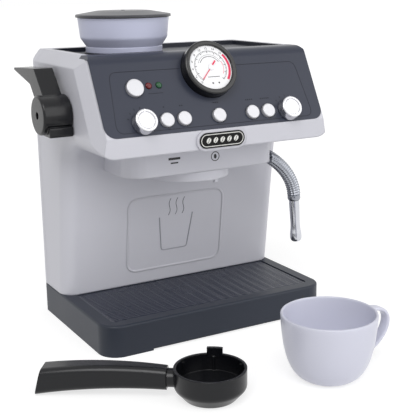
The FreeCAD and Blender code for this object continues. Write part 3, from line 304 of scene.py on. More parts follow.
# Light and floor
WHITE = (1.0, 1.0, 1.0, 1.0)
WORLD_LEVEL = 0.42
KEY_LEVEL = 1.3
KEY_DIRECTION = (0.55, 0.65, -1.0)
KEY_SOFTNESS = 35
FILL_LEVEL = 1.15
FILL_DIRECTION = (-0.6, 0.9, -0.35)
FILL_SOFTNESS = 60
FLOOR_SIZE = 12
FLOOR_BOUNCE = 0.8
FLOOR_ROUGHNESS = 0.9
FLOOR_SHADE = 0.45
FLOOR_GLOW = 0.70


def srgb(red, green, blue):
    """Linear colour from 0 to 255 display values."""
    linear = []
    for value in (red, green, blue):
        share = value / 255
        linear.append(share / 12.92 if share <= 0.04045 else ((share + 0.055) / 1.055) ** 2.4)
    return (*linear, 1.0)


def joint(name):
    return next(item for item in frame["joints"] if item["name"] == name)


panel_normal = -Vector(joint("power_button_press")["axis"])
panel_up = panel_normal.cross(Vector((1, 0, 0)))
knob_place = Vector(joint("knob_left_turn")["pos_m"])
panel_start = Vector((0, knob_place.y, knob_place.z)) - panel_up * KNOB_ROW


def plane_frame(origin, right, up):
    """Matrix that puts (across, up, outwards) of a flat place into the object's frame."""
    out = right.cross(up)
    turn = Matrix((right, up, out)).transposed().to_4x4()
    return Matrix.Translation(origin) @ turn


panel = plane_frame(panel_start, Vector((1, 0, 0)), panel_up)
panel_angle = math.atan2(panel_up.z, panel_up.y)
dial_low, dial_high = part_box("gauge_dial")
dial_centre = (dial_low + dial_high) / 2 + panel_normal * DIAL_THICKNESS / 2
dial = plane_frame(dial_centre, Vector((1, 0, 0)), panel_up)
column_rise = Vector((0, COLUMN_HEAD_Y - COLUMN_FOOT_Y, COLUMN_HEAD_Z - COLUMN_FOOT_Z)).normalized()
column = plane_frame(Vector((0, COLUMN_FOOT_Y, COLUMN_FOOT_Z)), Vector((1, 0, 0)), column_rise)
badge_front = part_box("badge_plate")[0].y
badge = plane_frame(Vector((BADGE_X, badge_front, BADGE_Z)), Vector((1, 0, 0)), Vector((0, 0, 1)))
box_front = plane_frame(Vector((0, BOX_FRONT_Y, BOX_MARK_Z)), Vector((1, 0, 0)), Vector((0, 0, 1)))


# Materials

def link(tree, source, output, target, socket):
    tree.links.new(source.outputs[output], target.inputs[socket])


def object_noise(tree, scale, detail):
    place = tree.nodes.new("ShaderNodeTexCoord")
    noise = tree.nodes.new("ShaderNodeTexNoise")
    noise.inputs["Scale"].default_value = scale
    noise.inputs["Detail"].default_value = detail
    link(tree, place, "Object", noise, "Vector")
    return noise


def blank_material(name):
    material = bpy.data.materials.new(name)
    material.use_nodes = True
    return material, material.node_tree, material.node_tree.nodes["Principled BSDF"]


def tint(colour, share):
    return tuple(min(1.0, channel * share) for channel in colour[:3]) + (1.0,)


def cloudy_colour(tree, shader, colour, spread, scale=CLOUD_SCALE):
    """Base colour that drifts slightly over the surface, as moulded plastic does."""
    noise = object_noise(tree, scale, CLOUD_DETAIL)
    mix = tree.nodes.new("ShaderNodeMix")
    mix.data_type = "RGBA"
    mix.inputs["A"].default_value = tint(colour, 1 - spread)
    mix.inputs["B"].default_value = tint(colour, 1 + spread)
    link(tree, noise, "Fac", mix, "Factor")
    tree.links.new(mix.outputs["Result"], shader.inputs["Base Color"])
    return noise


def vary_roughness(tree, shader, noise, roughness, swing=ROUGHNESS_SWING):
    spread = tree.nodes.new("ShaderNodeMapRange")
    spread.inputs["To Min"].default_value = roughness - swing
    spread.inputs["To Max"].default_value = roughness + swing
    link(tree, noise, "Fac", spread, "Value")
    link(tree, spread, "Result", shader, "Roughness")


def grain_bump(tree, shader, scale, strength, edge):
    """Fine moulded grain over edges that catch light as if rounded."""
    bump_normal(tree, shader, object_noise(tree, scale, GRAIN_DETAIL), strength, GRAIN_DEPTH, edge)


def bump_normal(tree, shader, height, strength, distance, edge):
    """Bump from the height node's factor, with soft edges where edge is not zero."""
    bump = tree.nodes.new("ShaderNodeBump")
    bump.inputs["Strength"].default_value = strength
    bump.inputs["Distance"].default_value = distance
    link(tree, height, "Fac", bump, "Height")
    if edge:
        soft = tree.nodes.new("ShaderNodeBevel")
        soft.samples = EDGE_SAMPLES
        soft.inputs["Radius"].default_value = edge
        link(tree, soft, "Normal", bump, "Normal")
    link(tree, bump, "Normal", shader, "Normal")


def plastic(name, colour, roughness, grain=1400, strength=0.25, edge=0.5 * MM, spread=0.02,
            coat=0.0, gloss=0.5):
    material, tree, shader = blank_material(name)
    noise = cloudy_colour(tree, shader, colour, spread)
    vary_roughness(tree, shader, noise, roughness)
    grain_bump(tree, shader, grain, strength, edge)
    shader.inputs["Specular IOR Level"].default_value = gloss
    shader.inputs["Coat Weight"].default_value = coat
    shader.inputs["Coat Roughness"].default_value = COAT_ROUGHNESS
    return material


def metal(name, colour, roughness, grain=2200, strength=0.1, edge=0.3 * MM):
    material = plastic(name, colour, roughness, grain, strength, edge, spread=0.03)
    material.node_tree.nodes["Principled BSDF"].inputs["Metallic"].default_value = 1.0
    return material


def turned_silver(name, centre, roughness, metallic):
    """Silver cap with fine turned rings round its own axis on the panel."""
    material, tree, shader = blank_material(name)
    noise = cloudy_colour(tree, shader, srgb(206, 206, 210), spread=0.02, scale=90)
    vary_roughness(tree, shader, noise, roughness)
    place = tree.nodes.new("ShaderNodeTexCoord")
    local = tree.nodes.new("ShaderNodeMapping")
    local.vector_type = "TEXTURE"
    local.inputs["Location"].default_value = centre
    local.inputs["Rotation"].default_value = (panel_angle, 0, 0)
    rings = tree.nodes.new("ShaderNodeTexWave")
    rings.wave_type = "RINGS"
    rings.rings_direction = "Z"
    rings.inputs["Scale"].default_value = CAP_RING_SCALE
    rings.inputs["Distortion"].default_value = CAP_RING_DISTORTION
    link(tree, place, "Object", local, "Vector")
    link(tree, local, "Vector", rings, "Vector")
    bump_normal(tree, shader, rings, CAP_RING_STRENGTH, CAP_RING_DEPTH, CAP_EDGE)
    shader.inputs["Metallic"].default_value = metallic
    return material


def lens(name, colour):
    """Coloured lamp cap, glossy and slightly see-through."""
    material = plastic(name, colour, 0.2, grain=900, strength=0.1, edge=0.2 * MM, spread=0.1,
                       coat=0.15, gloss=0.3)
    shader = material.node_tree.nodes["Principled BSDF"]
    shader.inputs["Transmission Weight"].default_value = 0.25
    return material


def coated_cell(name):
    """Battery sleeve with a copper-coloured end band along X."""
    material, tree, shader = blank_material(name)
    noise = object_noise(tree, SLEEVE_NOISE, CLOUD_DETAIL)
    place = tree.nodes.new("ShaderNodeTexCoord")
    split = tree.nodes.new("ShaderNodeSeparateXYZ")
    band = tree.nodes.new("ShaderNodeMath")
    band.operation = "GREATER_THAN"
    band.inputs[1].default_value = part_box("battery_cells")[1].x - SLEEVE_BAND
    mix = tree.nodes.new("ShaderNodeMix")
    mix.data_type = "RGBA"
    mix.inputs["A"].default_value = srgb(45, 48, 54)
    mix.inputs["B"].default_value = srgb(176, 120, 70)
    link(tree, place, "Object", split, "Vector")
    link(tree, split, "X", band, 0)
    link(tree, band, "Value", mix, "Factor")
    tree.links.new(mix.outputs["Result"], shader.inputs["Base Color"])
    vary_roughness(tree, shader, noise, 0.3, swing=0.05)
    shader.inputs["Metallic"].default_value = SLEEVE_METALLIC
    return material


def printed(name, colour, roughness=0.5, gloss=0.5):
    """Print or moulded line, too fine for soft edges."""
    return plastic(name, colour, roughness, grain=1500, strength=0.1, edge=0, gloss=gloss)


finishes = {
    "base_plastic": plastic("base_satin", srgb(40, 45, 56), 0.42, grain=1500, strength=0.5,
                            edge=0.8 * MM, gloss=0.3),
    "drip_plastic": plastic("drip_plate_satin", srgb(40, 44, 57), 0.28, grain=1500, strength=0.3,
                            edge=0.2 * MM, gloss=0.6),
    "screw_steel": metal("screw_zinc", srgb(190, 190, 192), 0.32),
    "inner_plastic": plastic("inner_black", srgb(44, 44, 46), 0.5),
    "cell_metal": coated_cell("cell_sleeve"),
    "board": plastic("solder_mask", srgb(20, 84, 48), 0.35, grain=600, strength=0.2, edge=0,
                     spread=0.06),
    "housing_plastic": plastic("housing_grey", srgb(205, 205, 213), 0.38, grain=1300, strength=0.3,
                               edge=1.8 * MM, spread=0.012),
    "panel_plastic": plastic("panel_slate", srgb(48, 52, 66), 0.33, grain=1700, strength=0.3,
                             edge=0.6 * MM, gloss=0.3),
    "gauge_plastic": plastic("gauge_black", srgb(9, 9, 12), 0.2, grain=900, strength=0.05,
                             edge=0.4 * MM, coat=0.2, gloss=0.4),
    "dial_print": plastic("dial_white", srgb(244, 244, 246), 0.4, grain=900, strength=0.05,
                          edge=0.1 * MM, spread=0.006),
    "top_tray_plastic": plastic("top_tray_slate", srgb(38, 40, 50), 0.4, grain=1500, strength=0.4,
                                gloss=0.3),
    "red_lamp": lens("lamp_red", srgb(112, 2, 12)),
    "green_lamp": lens("lamp_green", srgb(4, 84, 42)),
    "badge_plastic": plastic("badge_black", srgb(6, 6, 8), 0.35, grain=900, strength=0.1,
                             edge=0.3 * MM, gloss=0.2),
    "lilac_plastic": plastic("hopper_lilac", srgb(194, 197, 219), 0.34, grain=1300, strength=0.2,
                             edge=0.6 * MM),
    "lid_plastic": plastic("lid_charcoal", srgb(60, 60, 66), 0.34, grain=1500, strength=0.35,
                           edge=0.6 * MM),
    "cup_plastic": plastic("cup_lilac_grey", srgb(212, 213, 227), 0.3, grain=1300, strength=0.15,
                           edge=0.9 * MM, spread=0.01),
    "black_plastic": plastic("satin_black", srgb(12, 13, 17), 0.24, grain=1500, strength=0.2,
                             edge=1.0 * MM, gloss=0.36),
    "wand_chrome": metal("wand_plating", srgb(206, 208, 214), 0.16, grain=700, strength=0.05, edge=0),
}
ink = printed("ink_black", srgb(24, 24, 28))
ink_red = printed("ink_red", srgb(228, 52, 92))
ink_slate = printed("legend_slate", srgb(22, 23, 32), 0.45, gloss=0.2)
line_slate = printed("panel_line", srgb(30, 32, 44), 0.38, gloss=0.25)
pale_print = printed("badge_pale", srgb(226, 226, 222), 0.35)
# Steam waves: dark grey that is painted shade, standing in for the shadow in engraved grooves.
steam_painted_shade = printed("steam_painted_shade", srgb(92, 94, 102))
# Tumbler outline: grey darker than the housing, painted shade for its engraved line, beside the real shading of
# its domed ribbon.
tumbler_painted_shade = printed("tumbler_painted_shade", srgb(158, 159, 167), 0.45)
# Near black for the screws' cross recesses: painted shade.
recess_painted_shade = printed("recess_painted_shade", srgb(40, 40, 42))
# Darker copy of the wand's plating for the braided bend: painted shade for the dark reflections on the braid.
bend_silver_painted_shade = metal("bend_plating_painted_shade", srgb(158, 161, 168), 0.24, grain=700, strength=0.05, edge=0)
rim_black = plastic("rim_black", srgb(26, 26, 30), 0.3, grain=1500, strength=0.2, edge=0.3 * MM)


def dress_nodes():
    """Every CAD node gets its slot's finish; caps on the panel get turned rings of their own."""
    slots = {part["node"]: part["material_slot"] for part in frame["record"]["subparts"]}
    for name, node in frame["nodes"].items():
        if slots[name] == "silver_plastic":
            low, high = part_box(name)
            roughness, metallic = KNOB_SILVER if name.startswith("knob") else BUTTON_SILVER
            material = turned_silver(name + "_silver", (low + high) / 2, roughness, metallic)
        else:
            material = finishes[slots[name]]
        node.data.materials.clear()
        node.data.materials.append(material)


# Detail geometry

def turns(steps):
    """Angles of evenly spaced points round a circle."""
    return [2 * math.pi * step / steps for step in range(steps)]


def finish_piece(name, shape, material, body=MACHINE, smooth=True):
    """Turns a bmesh into a piece of the object, riding on its body."""
    mesh = bpy.data.meshes.new(name)
    bmesh.ops.recalc_face_normals(shape, faces=shape.faces)
    for face in shape.faces:
        face.smooth = smooth and len(face.verts) < FLAT_FROM_CORNERS
    shape.to_mesh(mesh)
    shape.free()
    if smooth:
        mesh.set_sharp_from_angle(angle=SHARP_ANGLE)
    return place_mesh(name, mesh, material, body)


def place_mesh(name, mesh, material, body=MACHINE):
    piece = bpy.data.objects.new(name, mesh)
    mesh.materials.append(material)
    bpy.context.scene.collection.objects.link(piece)
    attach(piece, body)
    return piece


def bridge(shape, rows, closed=False):
    """Quads between neighbouring closed rings of vertices, and from the last to the first if closed."""
    pairs = list(zip(rows, rows[1:]))
    if closed:
        pairs.append((rows[-1], rows[0]))
    for low, high in pairs:
        for step in range(len(low)):
            other = (step + 1) % len(low)
            shape.faces.new((low[step], low[other], high[other], high[step]))


def close_tube(shape, rows):
    """Skin over rings of vertices, with a face across both ends."""
    bridge(shape, rows)
    shape.faces.new(rows[0][::-1])
    shape.faces.new(rows[-1])


def add_ribbon(shape, place, points, width, height, closed=False, sunk=SUNK, dome=False):
    """Adds a thin strip along flat points, standing out of its plane; domed strips have a round back."""
    count = len(points)
    section = [(-0.5, height), (0.5, height)]
    if dome:
        section = [(share, height * rise) for share, rise in DOME]
    section = [(-0.5, -sunk)] + section + [(0.5, -sunk)]
    rows = []
    for index in range(count):
        before = points[(index - 1) % count] if closed or index else points[index]
        after = points[(index + 1) % count] if closed or index < count - 1 else points[index]
        along = (Vector(after) - Vector(before)).normalized()
        across = Vector((-along.y, along.x))
        row = []
        for share, out in section:
            flat = Vector(points[index]) + across * share * width
            row.append(shape.verts.new(place @ Vector((flat.x, flat.y, out))))
        rows.append(row)
    if closed:
        bridge(shape, rows, closed=True)
    else:
        close_tube(shape, rows)


def add_disc(shape, place, centre, radius_x, radius_y, height, turn=0.0, steps=DISC_STEPS):
    """Adds a low disc or oval with a softly rounded edge."""
    rows = []
    for scale, out in ((1.0, -SUNK), (1.0, height * DISC_SHOULDER), (DISC_TOP, height)):
        row = []
        for angle in turns(steps):
            x = radius_x * scale * math.cos(angle)
            y = radius_y * scale * math.sin(angle)
            across = centre[0] + x * math.cos(turn) - y * math.sin(turn)
            up = centre[1] + x * math.sin(turn) + y * math.cos(turn)
            row.append(shape.verts.new(place @ Vector((across, up, out))))
        rows.append(row)
    close_tube(shape, rows)


def arc(centre, radius, start, end, steps):
    return [(centre[0] + radius * math.cos(start + (end - start) * step / steps),
             centre[1] + radius * math.sin(start + (end - start) * step / steps))
            for step in range(steps + 1)]


def round_corner(before, corner, after, radius):
    """Points that round the corner between two neighbours."""
    here = Vector(corner)
    back = (Vector(before) - here).normalized()
    on = (Vector(after) - here).normalized()
    reach = radius / math.tan(back.angle(on) / 2)
    start = here + back * reach
    end = here + on * reach
    return [start * (1 - t) ** 2 + here * 2 * t * (1 - t) + end * t ** 2
            for t in (step / CORNER_STEPS for step in range(CORNER_STEPS + 1))]


def rounded_path(corners, radius):
    """Open path through corners with the inner ones rounded."""
    path = [corners[0]]
    for before, corner, after in zip(corners, corners[1:], corners[2:]):
        path += [tuple(point) for point in round_corner(before, corner, after, radius)]
    path.append(corners[-1])
    return path


def cubic_curve(points, steps):
    """Points along a cubic curve with four handles, as (across, up) pairs."""
    path = []
    for step in range(steps + 1):
        t = step / steps
        weights = ((1 - t) ** 3, 3 * t * (1 - t) ** 2, 3 * t ** 2 * (1 - t), t ** 3)
        path.append((sum(w * p[0] for w, p in zip(weights, points)),
                     sum(w * p[1] for w, p in zip(weights, points))))
    return path


def direction(path, index):
    """Unit direction of a flat path at one of its points."""
    before = path[max(index - 1, 0)]
    after = path[min(index + 1, len(path) - 1)]
    return Vector((after[0] - before[0], after[1] - before[1])).normalized()


def turned_rows(shape, centre, profile):
    """Rings of vertices about an upright axis from (radius, height) points."""
    return [[shape.verts.new((centre.x + radius * math.cos(angle), centre.y + radius * math.sin(angle),
                              centre.z + height)) for angle in turns(TURNED_STEPS)]
            for radius, height in profile]


def side_rows(shape, pivot, profile, steps):
    """Rings of vertices about a level axis along X from (x, radius) points."""
    return [[shape.verts.new((x, pivot.y + radius * math.cos(angle), pivot.z + radius * math.sin(angle)))
             for angle in turns(steps)] for x, radius in profile]


def soft_ends(low, high, edge, steps):
    """(place, inset) pairs that round both rims of a length from low to high."""
    quarter = [math.pi / 2 * step / steps for step in range(steps + 1)]
    ends = [(low + edge * (1 - math.sin(angle)), edge * (1 - math.cos(angle))) for angle in quarter[::-1]]
    ends += [(high - edge * (1 - math.sin(angle)), edge * (1 - math.cos(angle))) for angle in quarter]
    return ends


# Panel, gauge, column, badge and group head

def add_panel_line():
    """Shallow raised line round the panel, open where the gauge stands."""
    top_x = PANEL_LINE_X - PANEL_LINE_TAPER
    corners = [(-GAUGE_HALF_GAP, PANEL_LINE_HIGH), (-top_x, PANEL_LINE_HIGH),
               (-PANEL_LINE_X, PANEL_LINE_LOW), (PANEL_LINE_X, PANEL_LINE_LOW),
               (top_x, PANEL_LINE_HIGH), (GAUGE_HALF_GAP, PANEL_LINE_HIGH)]
    shape = bmesh.new()
    add_ribbon(shape, panel, rounded_path(corners, PANEL_LINE_ROUND), PANEL_LINE_WIDTH,
               PANEL_LINE_HEIGHT, dome=True)
    finish_piece("panel_line", shape, line_slate)


def add_legends():
    """Plain counting dots and ticks over the buttons and round the knobs."""
    shape = bmesh.new()
    for count, x in enumerate(LEGEND_PLACES, start=1):
        for index in range(count):
            offset = (index - (count - 1) / 2) * LEGEND_DOT_PITCH
            add_disc(shape, panel, (x * MM + offset, LEGEND_ROW), LEGEND_DOT, LEGEND_DOT,
                     PRINT_HEIGHT, steps=LEGEND_DOT_STEPS)
    for x in (-KNOB_X, KNOB_X):
        for step in range(KNOB_TICKS):
            angle = math.radians(KNOB_TICK_START + step * KNOB_TICK_SPAN / (KNOB_TICKS - 1))
            ends = [(x + radius * math.cos(angle), KNOB_ROW + radius * math.sin(angle))
                    for radius in (KNOB_TICK_INNER, KNOB_TICK_OUTER)]
            add_ribbon(shape, panel, ends, KNOB_TICK_WIDTH, PRINT_HEIGHT)
    add_ribbon(shape, panel, POWER_MARK, POWER_MARK_WIDTH, PRINT_HEIGHT)
    finish_piece("panel_legends", shape, ink_slate, smooth=False)


def dial_point(share, angle):
    return (DIAL_RADIUS * share * math.cos(angle), DIAL_RADIUS * share * math.sin(angle))


def add_dial_print():
    """Ticks, arcs, dots and plain numbers of the gauge's scale."""
    black = bmesh.new()
    for step in range(DIAL_TICKS + 1):
        angle = DIAL_START + (DIAL_END - DIAL_START) * step / DIAL_TICKS
        inner, width = SHORT_TICK_SHARE, SHORT_TICK_WIDTH
        if step % DIAL_LONG_EVERY == 0:
            inner, width = LONG_TICK_SHARE, LONG_TICK_WIDTH
        ends = [dial_point(inner, angle), dial_point(SCALE_SHARE, angle)]
        add_ribbon(black, dial, ends, width, PRINT_HEIGHT)
    for share, start, end, width in DIAL_ARCS:
        path = arc((0, 0), DIAL_RADIUS * share, start, end, DIAL_ARC_STEPS)
        add_ribbon(black, dial, path, width, PRINT_HEIGHT)
    for place in DIAL_DOTS:
        add_disc(black, dial, place, DIAL_DOT_RADIUS, DIAL_DOT_RADIUS, PRINT_HEIGHT,
                 steps=DIAL_DOT_STEPS)
    add_ribbon(black, dial, DIAL_BAR, DIAL_BAR_WIDTH, PRINT_HEIGHT)
    finish_piece("dial_ticks", black, ink, smooth=False)
    red = bmesh.new()
    for share, start, end, steps, width in (RED_ARC, RED_INNER_ARC):
        add_ribbon(red, dial, arc((0, 0), DIAL_RADIUS * share, start, end, steps), width, PRINT_HEIGHT)
    finish_piece("dial_red_arc", red, ink_red, smooth=False)
    for index in range(NUMBERS):
        angle = DIAL_START + (NUMBER_END - DIAL_START) * index / (NUMBERS - 1)
        add_number(str(index * NUMBER_STEP), dial_point(NUMBER_SHARE, angle))


def add_number(text, centre):
    """One printed number of the scale, upright and centred on its place."""
    curve = bpy.data.curves.new("number_" + text, "FONT")
    curve.body = text
    curve.size = NUMBER_SIZE
    curve.extrude = PRINT_HEIGHT
    curve.align_x = "CENTER"
    curve.align_y = "CENTER"
    holder = bpy.data.objects.new("number_source", curve)
    bpy.context.scene.collection.objects.link(holder)
    mesh = bpy.data.meshes.new_from_object(holder)
    bpy.data.objects.remove(holder)
    mesh.transform(dial @ Matrix.Translation(Vector((centre[0], centre[1], 0))))
    mesh.materials.clear()
    place_mesh("dial_number_" + text, mesh, ink)


def add_needle():
    """Slim pointer with a short counterweight past a white hub."""
    shape = bmesh.new()
    needle = [dial_point(share, NEEDLE_ANGLE) for share in NEEDLE_SHARES]
    add_ribbon(shape, dial, needle, NEEDLE_WIDTH, NEEDLE_TOP, sunk=-NEEDLE_UNDER)
    tail = [dial_point(share, NEEDLE_ANGLE + math.pi) for share in NEEDLE_TAIL_SHARES]
    add_ribbon(shape, dial, tail, NEEDLE_TAIL_WIDTH, NEEDLE_TOP, sunk=-NEEDLE_UNDER)
    finish_piece("gauge_needle", shape, ink_red, smooth=False)
    hub = bmesh.new()
    add_disc(hub, dial, (0, 0), NEEDLE_HUB_RADIUS, NEEDLE_HUB_RADIUS, NEEDLE_HUB_HEIGHT)
    finish_piece("gauge_hub", hub, finishes["dial_print"])


def add_emblem():
    """Plain tumbler outline with three steam waves on the column's front, coloured darker than the housing as
    painted shade for engraved lines.
    """
    shape = bmesh.new()
    add_ribbon(shape, column, rounded_path(TUMBLER, TUMBLER_ROUND), TUMBLER_WIDTH, TUMBLER_HEIGHT,
               dome=True)
    finish_piece("emblem_tumbler", shape, tumbler_painted_shade)
    steam = bmesh.new()
    for x in STEAM_PLACES:
        wave = []
        for step in range(STEAM_STEPS + 1):
            share = step / STEAM_STEPS
            across = x + STEAM_START + STEAM_LEAN * share + STEAM_SWING * math.sin(2 * math.pi * share)
            wave.append((across * MM, (STEAM_LOW + STEAM_RISE * share) * MM))
        add_ribbon(steam, column, wave, STEAM_WIDTH, STEAM_HEIGHT, dome=True)
    finish_piece("emblem_steam", steam, steam_painted_shade)


def add_badge_trim():
    """Light outline and a row of plain beans on the badge."""
    shape = bmesh.new()
    half_height = BADGE_HALF_HEIGHT - BADGE_LINE_INSET
    straight = BADGE_HALF_LENGTH - BADGE_HALF_HEIGHT
    outline = arc((straight, 0), half_height, -math.pi / 2, math.pi / 2, BADGE_LINE_STEPS)
    outline += arc((-straight, 0), half_height, math.pi / 2, 3 * math.pi / 2, BADGE_LINE_STEPS)
    add_ribbon(shape, badge, outline, BADGE_LINE_WIDTH, BADGE_LINE_HEIGHT, closed=True)
    finish_piece("badge_outline", shape, pale_print, smooth=False)
    beans = bmesh.new()
    slits = bmesh.new()
    for index in range(BEANS):
        x = (index - (BEANS - 1) / 2) * BEAN_PITCH
        add_disc(beans, badge, (x, 0), BEAN_LENGTH, BEAN_WIDTH, BEAN_HEIGHT, turn=BEAN_TURN)
        slit = []
        for step in range(SLIT_STEPS + 1):
            share = step / SLIT_STEPS * 2 - 1
            along = share * SLIT_LENGTH
            aside = SLIT_SWING * math.sin(math.pi * share)
            slit.append((x + along * math.cos(BEAN_TURN) - aside * math.sin(BEAN_TURN),
                         along * math.sin(BEAN_TURN) + aside * math.cos(BEAN_TURN)))
        add_ribbon(slits, badge, slit, SLIT_WIDTH, SLIT_HEIGHT)
    finish_piece("badge_beans", beans, pale_print)
    finish_piece("badge_bean_slits", slits, finishes["badge_plastic"], smooth=False)


def add_box_marks():
    """Two small plain marks on the group head box: a pair of bars, and a ring with a dot."""
    shape = bmesh.new()
    add_ribbon(shape, box_front, LONG_BAR, LONG_BAR_WIDTH, PRINT_HEIGHT)
    add_ribbon(shape, box_front, SHORT_BAR, SHORT_BAR_WIDTH, PRINT_HEIGHT)
    ring = arc(RING_PLACE, RING_RADIUS, 0, 2 * math.pi * RING_STEPS / (RING_STEPS + 1), RING_STEPS)
    add_ribbon(shape, box_front, ring, RING_WIDTH, PRINT_HEIGHT, closed=True)
    add_disc(shape, box_front, RING_PLACE, *RING_DOT, PRINT_HEIGHT)
    finish_piece("box_marks", shape, ink, smooth=False)


# Pieces that replace a CAD node

def add_drip_plate():
    """Plate with rows of fine wavy ribs, in the CAD plate's own box."""
    low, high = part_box("drip_tray_plate")
    floor = low.z + PLATE_FLOOR
    crest = high.z
    per_rib = len(RIB_SECTION)
    ribbed_low = low.y + PLATE_CORNER / 2
    ribbed_high = high.y - PLATE_CORNER / 2
    rib_count = int((ribbed_high - ribbed_low) / RIB_PITCH)
    ys = [low.y]
    ys += [ribbed_low + RIB_PITCH * step / per_rib for step in range(rib_count * per_rib + 1)]
    ys.append(high.y)
    shape = bmesh.new()
    grid = []
    for number, y in enumerate(ys):
        line = []
        front = PLATE_CORNER - (y - low.y)
        for step in range(PLATE_COLUMNS + 1):
            x = low.x + (high.x - low.x) * step / PLATE_COLUMNS
            inside = min(x - low.x, high.x - x)
            ribbed = 0 < number < len(ys) - 1 and inside > PLATE_CORNER / 2
            rise = RIB_SECTION[(number - 1) % per_rib] * (crest - floor) if ribbed else 0
            shift = RIB_SWING * math.sin(2 * math.pi * x / RIB_WAVE) if ribbed else 0
            if front > 0 and inside < PLATE_CORNER:
                room = PLATE_CORNER - math.sqrt(max(0, PLATE_CORNER ** 2 - front ** 2))
                x = max(low.x + room, min(high.x - room, x))
            line.append(shape.verts.new((x, y + shift, floor + rise)))
        grid.append(line)
    for near, far in zip(grid, grid[1:]):
        for step in range(PLATE_COLUMNS):
            shape.faces.new((near[step], near[step + 1], far[step + 1], far[step]))
    right_edge = [line[-1] for line in grid[1:]]
    left_edge = [line[0] for line in grid[-2:0:-1]]
    edge = grid[0] + right_edge + grid[-1][-2::-1] + left_edge
    foot = [shape.verts.new((vert.co.x, vert.co.y, low.z)) for vert in edge]
    bridge(shape, [edge, foot])
    shape.faces.new(foot)
    piece = finish_piece("ribbed_drip_plate", shape, finishes["drip_plastic"])
    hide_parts("drip_tray_plate")


def add_cup():
    """Thin bowl with a rounded rim and a curved band handle, in the CAD cup's own place."""
    low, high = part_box("cup")
    rim = (high.y - low.y) / 2
    centre = Vector((low.x + rim, (low.y + high.y) / 2, 0))
    bead = CUP_WALL / 2
    shoulder = high.z - bead
    outside = cubic_curve(CUP_OUTSIDE + [(rim, shoulder)], CUP_STEPS)
    inside = cubic_curve(CUP_INSIDE + [(rim - CUP_WALL, shoulder)], CUP_STEPS)
    half_turn = [math.pi * step / CUP_RIM_STEPS for step in range(1, CUP_RIM_STEPS)]
    edge = [(rim - bead + bead * math.cos(angle), shoulder + bead * math.sin(angle))
            for angle in half_turn]
    shape = bmesh.new()
    close_tube(shape, turned_rows(shape, centre, outside + edge + inside[::-1]))
    path = cubic_curve(CUP_HANDLE, CUP_HANDLE_STEPS)
    rings = []
    for index, (across, up) in enumerate(path):
        along = direction(path, index)
        ring = []
        for angle in turns(CUP_HANDLE_AROUND):
            side = signed_power(math.cos(angle), CUP_HANDLE_SIDE_POWER) * CUP_HANDLE_HALF_WIDTH
            out = signed_power(math.sin(angle), CUP_HANDLE_FACE_POWER) * CUP_HANDLE_HALF_THICKNESS
            ring.append(shape.verts.new((centre.x + across - along.y * out, centre.y + side,
                                         up + along.x * out)))
        rings.append(ring)
    close_tube(shape, rings)
    piece = finish_piece("cup_body", shape, finishes["cup_plastic"], "cup")
    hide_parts("cup")


def signed_power(value, power):
    return math.copysign(abs(value) ** power, value)


def leaning_rings(shape, start, lean, profile):
    """Rings of vertices along the nozzle's leaning axis from (reach, radius) points."""
    across = Vector((lean.z, 0, -lean.x))
    rings = []
    for reach, radius in profile:
        ring = []
        for angle in turns(WAND_AROUND):
            out = across * -math.sin(angle) + Vector((0, 1, 0)) * math.cos(angle)
            ring.append(shape.verts.new(start + lean * reach + out * radius))
        rings.append(ring)
    return rings


def add_wand():
    """Rigid bend of the steam wand with its braid in relief and its collar, in a darker plating that is painted
    shade, and the smooth nozzle.
    """
    pivot = Vector(joint("steam_wand_swing")["pos_m"])
    side = pivot.x + WAND_GAP
    curve = cubic_curve([(side - BEND_ROOT_BACK, pivot.z - BEND_ROOT_DROP)] + BEND_HANDLES, BEND_STEPS)
    shape = bmesh.new()
    pin = [(side - WAND_PIN_LENGTH, WAND_PIN_RADIUS), (side, WAND_PIN_RADIUS)]
    rows = side_rows(shape, pivot, pin, WAND_AROUND)
    length = 0.0
    for index, (x, z) in enumerate(curve):
        before = curve[max(index - 1, 0)]
        along = direction(curve, index)
        length += Vector((x - before[0], z - before[1])).length
        twist = length / WEAVE_LENGTH
        row = []
        for angle in turns(WAND_AROUND):
            weave = math.cos(WEAVE_STRANDS * angle + twist) * math.cos(WEAVE_STRANDS * angle - twist)
            radius = BEND_RADIUS + WEAVE_DEPTH * weave
            up = radius * math.sin(angle)
            row.append(shape.verts.new((max(side, x - along.y * up), pivot.y + radius * math.cos(angle),
                                        z + along.x * up)))
        rows.append(row)
    end = Vector((curve[-1][0], pivot.y, curve[-1][1]))
    lean = Vector(NOZZLE_LEAN).normalized()
    rows += leaning_rings(shape, end, lean, COLLAR)
    close_tube(shape, rows)
    piece = finish_piece("braided_wand", shape, bend_silver_painted_shade, "steam_wand")
    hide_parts("steam_wand")
    shape = bmesh.new()
    profile = cubic_curve(NOZZLE_NECK, NOZZLE_NECK_STEPS) + cubic_curve(NOZZLE_TIP, NOZZLE_TIP_STEPS)[1:]
    close_tube(shape, leaning_rings(shape, end, lean, profile))
    piece = finish_piece("smooth_nozzle", shape, finishes["wand_chrome"], "steam_wand")
    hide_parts("steam_nozzle")


def add_slab(shape, outline, rounds, x_low, x_high, edge):
    """Upright slab with a rounded outline in (y, z), and rounded rims at both ends."""
    path = []
    for index, (corner, radius) in enumerate(zip(outline, rounds)):
        after = outline[(index + 1) % len(outline)]
        path += round_corner(outline[index - 1], corner, after, radius)
    total = len(path)
    turn = sum(path[index - 1].cross(path[index]) for index in range(total))
    inward = []
    for index in range(total):
        along = (path[(index + 1) % total] - path[index - 1]).normalized()
        inward.append(Vector((-along.y, along.x)) * (1 if turn > 0 else -1))
    rows = []
    for x, inset in soft_ends(x_low, x_high, edge, SLAB_EDGE_STEPS):
        flat = [point + side * inset for point, side in zip(path, inward)]
        rows.append([shape.verts.new((x, point.x, point.y)) for point in flat])
    close_tube(shape, rows)


